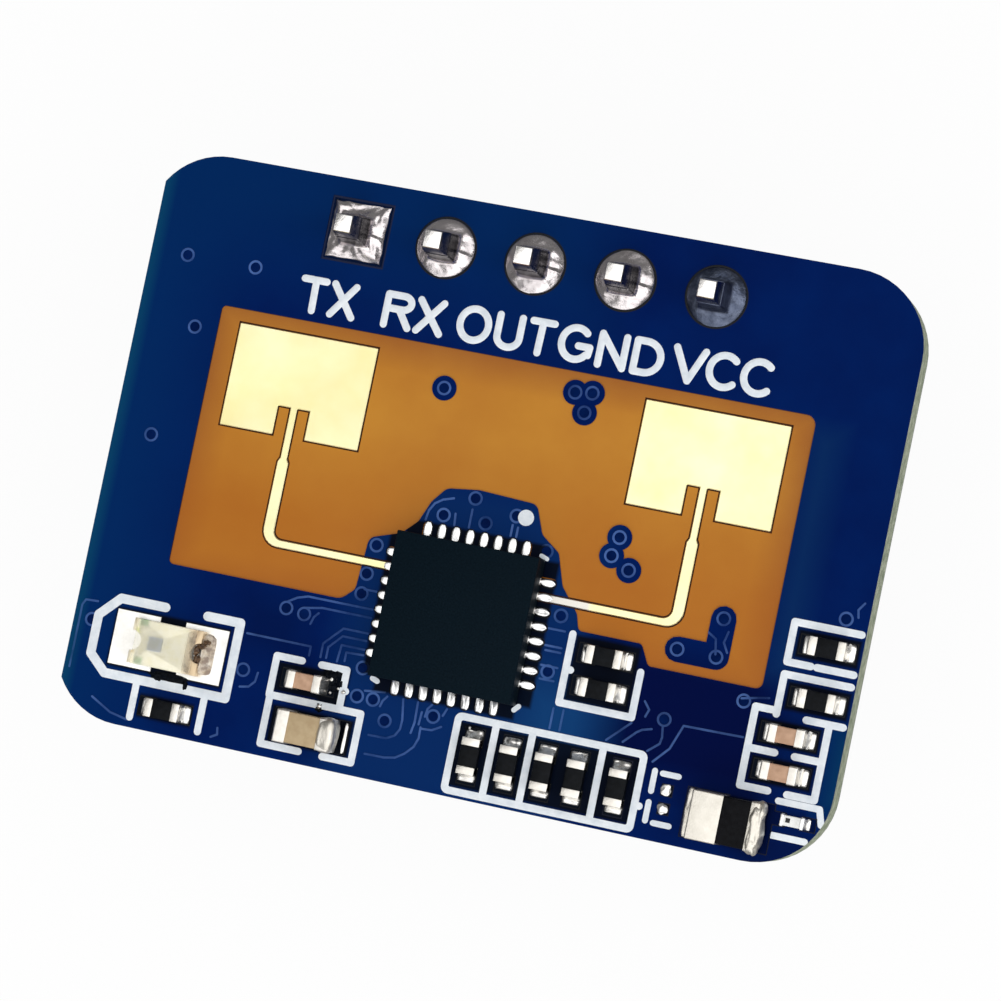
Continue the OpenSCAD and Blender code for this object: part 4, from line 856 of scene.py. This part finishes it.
# Block, its end, start and stop of the skin from that end, overlap, foot, height, seed, depth and ripples
SKINS = [
    ("capacitor_2", 1, -0.38, 0.14, 0.05, 0.15, 0.86, 2.4, 0.05, (3.0, 1.6)),
    ("ferrite_bead_body", 1, -0.23, 0.19, 0.06, 0.15, 0.91, 6.1, 0.09, (4.5, 2.4)),
    ("ferrite_bead_body", 0, -0.27, -0.05, 0.03, -0.08, 0.16, 4.2, 0.04, (3.5, 3.2)),
]
skins = bmesh.new()
for name, end, start, stop, over, foot, high, seed, depth, ripple in SKINS:
    corners = box_mm(name)
    merge_into(skins, crumpled_cover(Vector((corners[end].x + start, corners[0].y - over, FRONT + foot)),
                                     Vector((corners[end].x + stop, corners[1].y + over, FRONT + high)),
                                     seed, depth, ripple))
add_piece("crumpled_skins", skins, bead_tin, "solder", "front_solder", smooth=60)

# %% [markdown]
# The light sensor is a cream carrier with plated ends and a clear block
# cast over a light-sensitive chip. It was soldered by hand: its right end
# is scorched beige and brown. Green and gold marks of the carrier's copper
# show through the clear block, which is cloudy on top, clearer on its sides
# and lets all light through to what lies inside. The stains are soft boxes
# again.

# %% Light sensor
cream, tree, shader, place = finish(
    "cream_carrier", ((250, 243, 216), (254, 250, 230)), 0.3, (0.3, 0.45), specular=0.8, grain=0.05, depth=0.002)
contact_tin, contact_tree, contact_shader, contact_place = finish(
    "contact_tin", ((236, 224, 190), (246, 238, 212)), 0.3, (0.3, 0.45), metal=0.6, grain=0.05, depth=0.002)

# Two corners on the board, soft rim, share and tone
STAINS = [
    ((3.36, 1.4), (4.4, 3.4), 0.25, 0.8, (218, 190, 152)),
    ((1.98, 2.78), (2.32, 3.08), 0.1, 0.9, (74, 150, 92)),
    ((2.02, 1.7), (2.34, 2.0), 0.1, 0.9, (74, 150, 92)),
    ((1.92, 2.5), (2.1, 2.78), 0.08, 0.8, (206, 214, 96)),
    ((1.92, 2.02), (2.04, 2.2), 0.06, 0.8, (214, 176, 60)),
]
for low, high, rim, share, tone in STAINS:
    repaint(cream, box_mask(tree, place, on_board(*low), on_board(*high), rim), tone, share)
    repaint(contact_tin, box_mask(contact_tree, contact_place, on_board(*low), on_board(*high), rim), tone, share)
scorch = product(tree, box_mask(tree, place, on_board(3.4, 1.75), on_board(4.3, 3.0), 0.2),
                 use_group(tree, drift, place, Per_metre=1 / (0.3 * MM), Low=-0.7, High=1.5))
repaint(cream, scorch, (104, 80, 62), 0.9)
die_blue = finish("die_blue", ((26, 66, 118), (66, 106, 156)), 0.1, (0.2, 0.35), specular=0.5, grain=0.05,
                  depth=0.001)[0]
resin, tree, shader, place = finish(
    "clear_resin", ((246, 240, 204), (253, 249, 228)), 0.3, (0.3, 0.4), specular=0.9, grain=0.2, depth=0.001)
lit_through = opposite(tree, tree.nodes.new("ShaderNodeLightPath").outputs["Is Shadow Ray"])
outside = opposite(tree, tree.nodes.new("ShaderNodeNewGeometry").outputs["Backfacing"])
cloudy = new_node(tree, "MapRange", To_Min=0.16, To_Max=0.42)
tree.links.new(where_higher(tree, place, box_mm("light_sensor_lens")[1].z - 0.02, 0.01), cloudy.inputs["Value"])
tree.links.new(product(tree, product(tree, lit_through, outside), cloudy.outputs["Result"]), shader.inputs["Alpha"])
add_piece("sensor_carrier", soften(node_copy("light_sensor_carrier"), 0.015), cream, "carrier_cream",
          "light_sensor_carrier")
add_piece("sensor_contacts", soften(node_copy("light_sensor_contacts"), 0.012), contact_tin, "land_metal",
          "light_sensor_contacts")
add_piece("sensor_block", soften(node_copy("light_sensor_lens"), 0.025), resin, "clear_resin", "light_sensor_lens")
dress(die_blue, "light_sensor_die")

# %% [markdown]
# The sensor's left land is flat and bright as it is. At the right end the
# solder is scorched with flux: a beige skirt with grey and brown marks,
# modelled as one more tongue, wide and uneven.

# %% Scorched solder at the light sensor
sensor_low, sensor_high = box_mm("light_sensor_contacts")
sensor_middle = (sensor_low + sensor_high) / 2
reach = (sensor_high.x - sensor_low.x) / 2
scorched, tree, shader, place = finish(
    "scorched_solder", ((206, 186, 158), (236, 226, 212)), 0.2, (0.3, 0.5), specular=0.4, grain=0.06, depth=0.01)
patches = use_group(tree, drift, place, Per_metre=1 / (0.22 * MM), Low=-0.8, High=1.4)
brown = new_node(tree, "Clamp")
tree.links.new(patches, brown.inputs["Value"])
repaint(scorched, brown.outputs["Result"], (128, 108, 96), 0.8)
skirt = tongue(0.34, 1.12, 0.2, 0.04, seed=5.5, steep=1.6, cuts=24, unevenness=0.5)
bmesh.ops.translate(skirt, vec=(sensor_middle.x + reach, sensor_middle.y, FRONT), verts=skirt.verts)
add_piece("sensor_right_skirt", skirt, scorched, "solder", "front_solder", smooth=60)

# %% [markdown]
# A drop of burnt flux sits in the notch at the scorched end, more of it
# lies as dark spots beside some joints, and each via under the varnish
# shows as a dark disc in its ring: painted shade of its dimple. All of these
# are low domes.

# %% Flux and via dimples
burnt = finish("burnt_flux", ((52, 34, 24), (120, 92, 66)), 0.08, (0.2, 0.35), specular=0.4, grain=0.04, depth=0.004)[0]
flux = finish("dark_flux", ((1, 3, 8), (7, 13, 22)), 0.1, (0.2, 0.35), specular=0.06, grain=0.06, depth=0.006)[0]
glaze(flux, 0.3, 0.2)
drops = bmesh.new()
for k, (x, y, wide, deep) in enumerate([(4.0, 2.72, 0.1, 0.06), (3.86, 2.6, 0.11, 0.07), (3.74, 2.44, 0.08, 0.12),
                                        (3.8, 2.22, 0.09, 0.11), (3.82, 2.06, 0.05, 0.1)]):
    drop = bmesh.new()
    bmesh.ops.create_icosphere(drop, subdivisions=4, radius=1)
    for v in drop.verts:
        v.co *= 1 + 0.5 * noise.noise(v.co * 2 + Vector((0, 0, 2.3 * k)))
    bmesh.ops.scale(drop, vec=(wide, deep, 0.1), verts=drop.verts)
    merge_into(drops, drop, Matrix.Translation((*on_board(x, y), FRONT + 0.17)))
add_piece("flux_drops", drops, burnt, "carrier_cream", smooth=60)

# Places on the board, half length along and across the board, and height
SPOTS = [
    (3.08, 1.56, 0.56, 0.13, 0.04), (2.72, 1.52, 0.16, 0.12, 0.07), (3.56, 1.44, 0.08, 0.12, 0.05),
    (7.55, 2.5, 0.17, 0.2, 0.05), (7.76, 2.64, 0.1, 0.08, 0.04), (7.7, 2.24, 0.16, 0.1, 0.05),
    (7.35, 2.06, 0.3, 0.06, 0.03), (7.9, 2.36, 0.06, 0.09, 0.04),
    (11.76, 1.93, 0.24, 0.08, 0.04), (7.42, 1.64, 0.12, 0.14, 0.03),
]
spots = bmesh.new()
for k, (x, y, along, across, high) in enumerate(SPOTS):
    spot = bmesh.new()
    bmesh.ops.create_icosphere(spot, subdivisions=4, radius=1)
    for v in spot.verts:
        v.co *= 1 + 0.45 * noise.noise(v.co * 1.8 + Vector((0, 0, 3.7 * k)))
    bmesh.ops.scale(spot, vec=(along, across, high), verts=spot.verts)
    merge_into(spots, spot, Matrix.Translation((*on_board(x, y), FRONT)))
add_piece("flux_spots", spots, flux, "solder", smooth=60)

VIAS = [
    (9.04, 10.81), (12.64, 11.36), (13.12, 11.42), (13.00, 10.86), (14.64, 7.75), (14.53, 7.23), (15.06, 6.93),
    (17.86, 6.17), (17.86, 5.13), (16.79, 5.13), (9.75, 7.42), (10.54, 8.03), (10.95, 7.42), (11.75, 7.78),
    (12.75, 7.00), (8.09, 6.26), (7.97, 5.45), (7.95, 4.89), (5.95, 4.09), (6.47, 4.03), (9.30, 1.64),
    (10.61, 2.03), (8.40, 2.14), (8.87, 2.14), (8.40, 2.92), (13.50, 5.38), (13.46, 3.84), (16.82, 3.23),
    (1.08, 13.11), (3.08, 13.11), (1.71, 11.19), (1.11, 8.03), (0.53, 2.70), (5.10, 2.20), (18.82, 4.14),
    (21.06, 6.80),
]
# Painted shade: the vias' discs are a darker blue than the varnish round them.
dimple_shade_blue, tree, shader, place = finish(
    "dimple_shade_varnish", ((0, 18, 64), (2, 30, 85)), 0.6, (0.2, 0.3), specular=0.012, grain=0.3, depth=0.0008)
glaze(dimple_shade_blue, 0.6)
dimples = bmesh.new()
for x, y in VIAS:
    disc = bmesh.new()
    bmesh.ops.create_uvsphere(disc, u_segments=24, v_segments=8, radius=0.13)
    bmesh.ops.scale(disc, vec=(1, 1, 0.03), verts=disc.verts)
    merge_into(dimples, disc, Matrix.Translation((*on_board(x, y), FRONT)))
add_piece("via_dimples", dimples, dimple_shade_blue, "solder_mask", smooth=60)

# %% [markdown]
# On the back stand a crystal in its metal can, a regulator with five bent
# leads and four capacitors. They keep the CAD's shapes with soft edges.

# %% Pieces on the back
add_piece("crystal_bed", soften(node_copy("crystal_base"), 0.04), crystal_brown, "crystal_ceramic", "crystal_base")
add_piece("crystal_lid", soften(node_copy("crystal_can"), 0.05, 3), can_tin, "can_metal", "crystal_can")
add_piece("regulator_block", soften(node_copy("regulator_body"), 0.03), regulator_mould, "chip_mould",
          "regulator_body")
add_piece("regulator_legs", soften(node_copy("regulator_leads"), 0.015), end_tin, "end_metal", "regulator_leads")
dress(solder, "back_solder")

# %% [markdown]
# The pin labels are generic words for serial data, output, ground and
# supply. Each letter is a few strokes of a round pen. Straight strokes are
# drawn one by one, since a pen that turns a sharp corner would run thin;
# each lies a hair higher than the last, so that crossings stay clean.

# %% Strokes of the pin labels
PEN = 0.1
HIGH, LOW = 13.07, 12.22


def arc(x, y, rx, ry, start, stop, steps=20):
    """Points along an ellipse, angles in degrees."""
    angles = [math.radians(start + (stop - start) * i / steps) for i in range(steps + 1)]
    return [(x + rx * math.cos(a), y + ry * math.sin(a)) for a in angles]


def joined(*points):
    """Straight strokes from point to point."""
    return [list(pair) for pair in zip(points, points[1:])]


strokes = [
    *joined((4.54, HIGH), (5.18, HIGH)), *joined((4.88, HIGH), (4.9, LOW)),
    *joined((5.43, HIGH), (6.05, LOW)), *joined((6.05, HIGH), (5.43, LOW)),
    *joined((7.44, HIGH), (6.99, HIGH), (6.99, LOW)), *joined((6.99, 12.69), (7.44, 12.69)),
    arc(7.44, 12.88, 0.23, 0.19, 90, -90), *joined((7.35, 12.69), (7.67, LOW)),
    *joined((7.92, HIGH), (8.58, LOW)), *joined((8.58, HIGH), (7.92, LOW)),
    arc(9.51, 12.66, 0.4, 0.43, 0, 360, 40),
    [(10.19, HIGH), (10.19, 12.52)] + arc(10.505, 12.5, 0.315, 0.28, 180, 360) + [(10.82, HIGH)],
    *joined((11.12, HIGH), (11.72, HIGH)), *joined((11.4, HIGH), (11.38, LOW)),
    arc(12.39, 12.66, 0.4, 0.43, 48, 322, 30), *joined((12.77, 12.4), (12.79, 12.61), (12.47, 12.61)),
    *joined((13.08, LOW), (13.08, HIGH), (13.76, LOW), (13.76, HIGH)),
    *joined((14.33, HIGH), (14.06, HIGH), (14.06, LOW), (14.33, LOW)), arc(14.33, 12.645, 0.43, 0.425, 90, -90),
    *joined((15.15, HIGH), (15.58, LOW), (15.95, HIGH)),
    arc(16.53, 12.65, 0.41, 0.43, 48, 312, 30),
    arc(17.48, 12.65, 0.41, 0.43, 48, 312, 30),
]
print("strokes in the pin labels:", len(strokes))

# %% [markdown]
# A stroke becomes a mesh by way of a curve with a round section and a ball
# at each end. Then it is pressed flat and set on the varnish.

# %% Letters of the pin labels


def pen_stroke(points):
    """Flat stroke of a round pen along some points."""
    pen = bpy.data.curves.new("pen", "CURVE")
    pen.dimensions = "3D"
    pen.bevel_depth = PEN
    pen.bevel_resolution = 3
    pen.use_fill_caps = True
    closed = math.dist(points[0], points[-1]) < 1e-6
    spline = pen.splines.new("POLY")
    spline.points.add(len(points) - 1 - closed)
    spline.use_cyclic_u = closed
    for point, (x, y) in zip(spline.points, points):
        point.co = (x, y, 0, 1)
    drawn = bpy.data.objects.new("pen", pen)
    mesh = bpy.data.meshes.new_from_object(drawn)
    bm = bmesh.new()
    bm.from_mesh(mesh)
    for x, y in () if closed else (points[0], points[-1]):
        bmesh.ops.create_uvsphere(bm, u_segments=20, v_segments=10, radius=PEN, matrix=Matrix.Translation((x, y, 0)))
    bpy.data.meshes.remove(mesh)
    bpy.data.objects.remove(drawn)
    bpy.data.curves.remove(pen)
    bmesh.ops.scale(bm, vec=(1, 1, 0.14), verts=bm.verts)
    return bm


letters = bmesh.new()
for k, points in enumerate(strokes):
    merge_into(letters, pen_stroke(points), Matrix.Translation((*on_board(0, 0), FRONT + 0.001 + 0.001 * (k % 6))))
bmesh.ops.recalc_face_normals(letters, faces=letters.faces)
add_piece("pin_labels", letters, ink, "print_white", smooth=60)

# %% [markdown]
# The floor is pale and lies under the pins. To the eye it is white and
# glows, and still keeps some of the object's shadow. To all other rays it
# is a duller paper, so that it doesn't flood the metal with light. It is
# clear from below and to the light of the lamp there, so that the underside
# can be looked at.

# %% Floor
floor_mesh = bpy.data.meshes.new("floor")
floor_bm = bmesh.new()
bmesh.ops.create_grid(floor_bm, x_segments=1, y_segments=1, size=1.5)
bmesh.ops.translate(floor_bm, vec=(0, 0, cad_bounds[0].z), verts=floor_bm.verts)
floor_bm.to_mesh(floor_mesh)
floor_bm.free()
floor = bpy.data.objects.new("floor", floor_mesh)
bpy.context.scene.collection.objects.link(floor)
floor_white = bpy.data.materials.new("floor_white")
floor_white.use_nodes = True
tree = floor_white.node_tree
paint = tree.nodes["Principled BSDF"]
paint.inputs["Roughness"].default_value = 0.9
paint.inputs["Specular IOR Level"].default_value = 0.1
seen = tree.nodes.new("ShaderNodeLightPath")
eye = new_node(tree, "Math", "MAXIMUM")
tree.links.new(seen.outputs["Is Camera Ray"], eye.inputs[0])
tree.links.new(seen.outputs["Is Transmission Ray"], eye.inputs[1])
tree.links.new(mix_colours(tree, eye.outputs[0], (0.42, 0.42, 0.42), (0.95, 0.95, 0.95)), paint.inputs["Base Color"])
glow = new_node(tree, "Emission", Strength=1.0)
glow.inputs["Color"].default_value = (1, 1, 1, 1)
mixed = tree.nodes.new("ShaderNodeMixShader")
tree.links.new(product(tree, eye.outputs[0], 0.93), mixed.inputs[0])
tree.links.new(paint.outputs[0], mixed.inputs[1])
tree.links.new(glow.outputs[0], mixed.inputs[2])
from_below = tree.nodes.new("ShaderNodeMixShader")
clear = new_node(tree, "Math", "MAXIMUM")
tree.links.new(tree.nodes.new("ShaderNodeNewGeometry").outputs["Backfacing"], clear.inputs[0])
tree.links.new(seen.outputs["Is Shadow Ray"], clear.inputs[1])
tree.links.new(clear.outputs[0], from_below.inputs[0])
tree.links.new(mixed.outputs[0], from_below.inputs[1])
tree.links.new(tree.nodes.new("ShaderNodeBsdfTransparent").outputs[0], from_below.inputs[2])
tree.links.new(from_below.outputs[0], tree.nodes["Material Output"].inputs["Surface"])
floor_mesh.materials.append(floor_white)

# %% [markdown]
# The studio is one large soft lamp overhead, a soft panel on the side of
# the light sensor and one on the right. Solder that faces these two is
# bright, solder that faces away is dark, as in the photograph. A weak lamp
# below the floor serves only views of the underside. The world is a dim
# grey that keeps contrast in the metal, and white to the eye.

# %% Lamps and world


def soft_lamp(name, place, aim, width, height, watts):
    lamp = bpy.data.lights.new(name, "AREA")
    lamp.shape = "RECTANGLE"
    lamp.size, lamp.size_y, lamp.energy = width, height, watts
    made = bpy.data.objects.new(name, lamp)
    made.location = place
    made.rotation_mode = "QUATERNION"
    made.rotation_quaternion = (Vector(place) - Vector(aim)).to_track_quat("Z", "Y")
    made.visible_camera = False
    bpy.context.scene.collection.objects.link(made)
    return made


BOARD_MIDDLE = (0, -0.0065, 0.0037)
soft_lamp("overhead", (0.07, -0.05, 0.3), BOARD_MIDDLE, 0.56, 0.56, 1.28)
soft_lamp("near_panel", (0.02, -0.33, 0.16), BOARD_MIDDLE, 0.5, 0.2, 0.36)
soft_lamp("right_panel", (0.36, 0.0, 0.18), BOARD_MIDDLE, 0.2, 0.4, 0.26)
soft_lamp("under_lamp", (-0.05, 0.05, -0.3), BOARD_MIDDLE, 0.4, 0.4, 0.7)

world = bpy.data.worlds.new("studio")
bpy.context.scene.world = world
world.use_nodes = True
tree = world.node_tree
eye = tree.nodes.new("ShaderNodeLightPath").outputs["Is Camera Ray"]
tree.links.new(mix_colours(tree, eye, (0.16, 0.16, 0.16), (1.0, 1.0, 1.0)), tree.nodes["Background"].inputs["Color"])

# %% [markdown]
# The camera stands almost overhead, a little to the right, and is turned
# so that the board's upper edge slopes down to the right. Its place, aim and
# lens were worked out from the board's four corners in the photograph.

# %% Camera
camera_data = bpy.data.cameras.new("camera")
camera_data.sensor_width = 36
camera_data.lens = 131.27
camera_data.clip_start = 0.001
camera = bpy.data.objects.new("camera", camera_data)
bpy.context.scene.collection.objects.link(camera)
camera_place = Vector((23.446, -10.176, 99.501)) * MM
camera_aim = Vector((0.387, -6.474, 3.7)) * MM
backward = (camera_place - camera_aim).normalized()
sideways = Vector((0, 1, 0)).cross(backward).normalized()
upward = backward.cross(sideways)
level = Matrix((sideways, upward, backward)).transposed().to_4x4()
camera.matrix_world = Matrix.Translation(camera_place) @ level @ Matrix.Rotation(math.radians(11.68), 4, "Z")
bpy.context.scene.camera = camera
bpy.context.scene.view_settings.view_transform = "Standard"
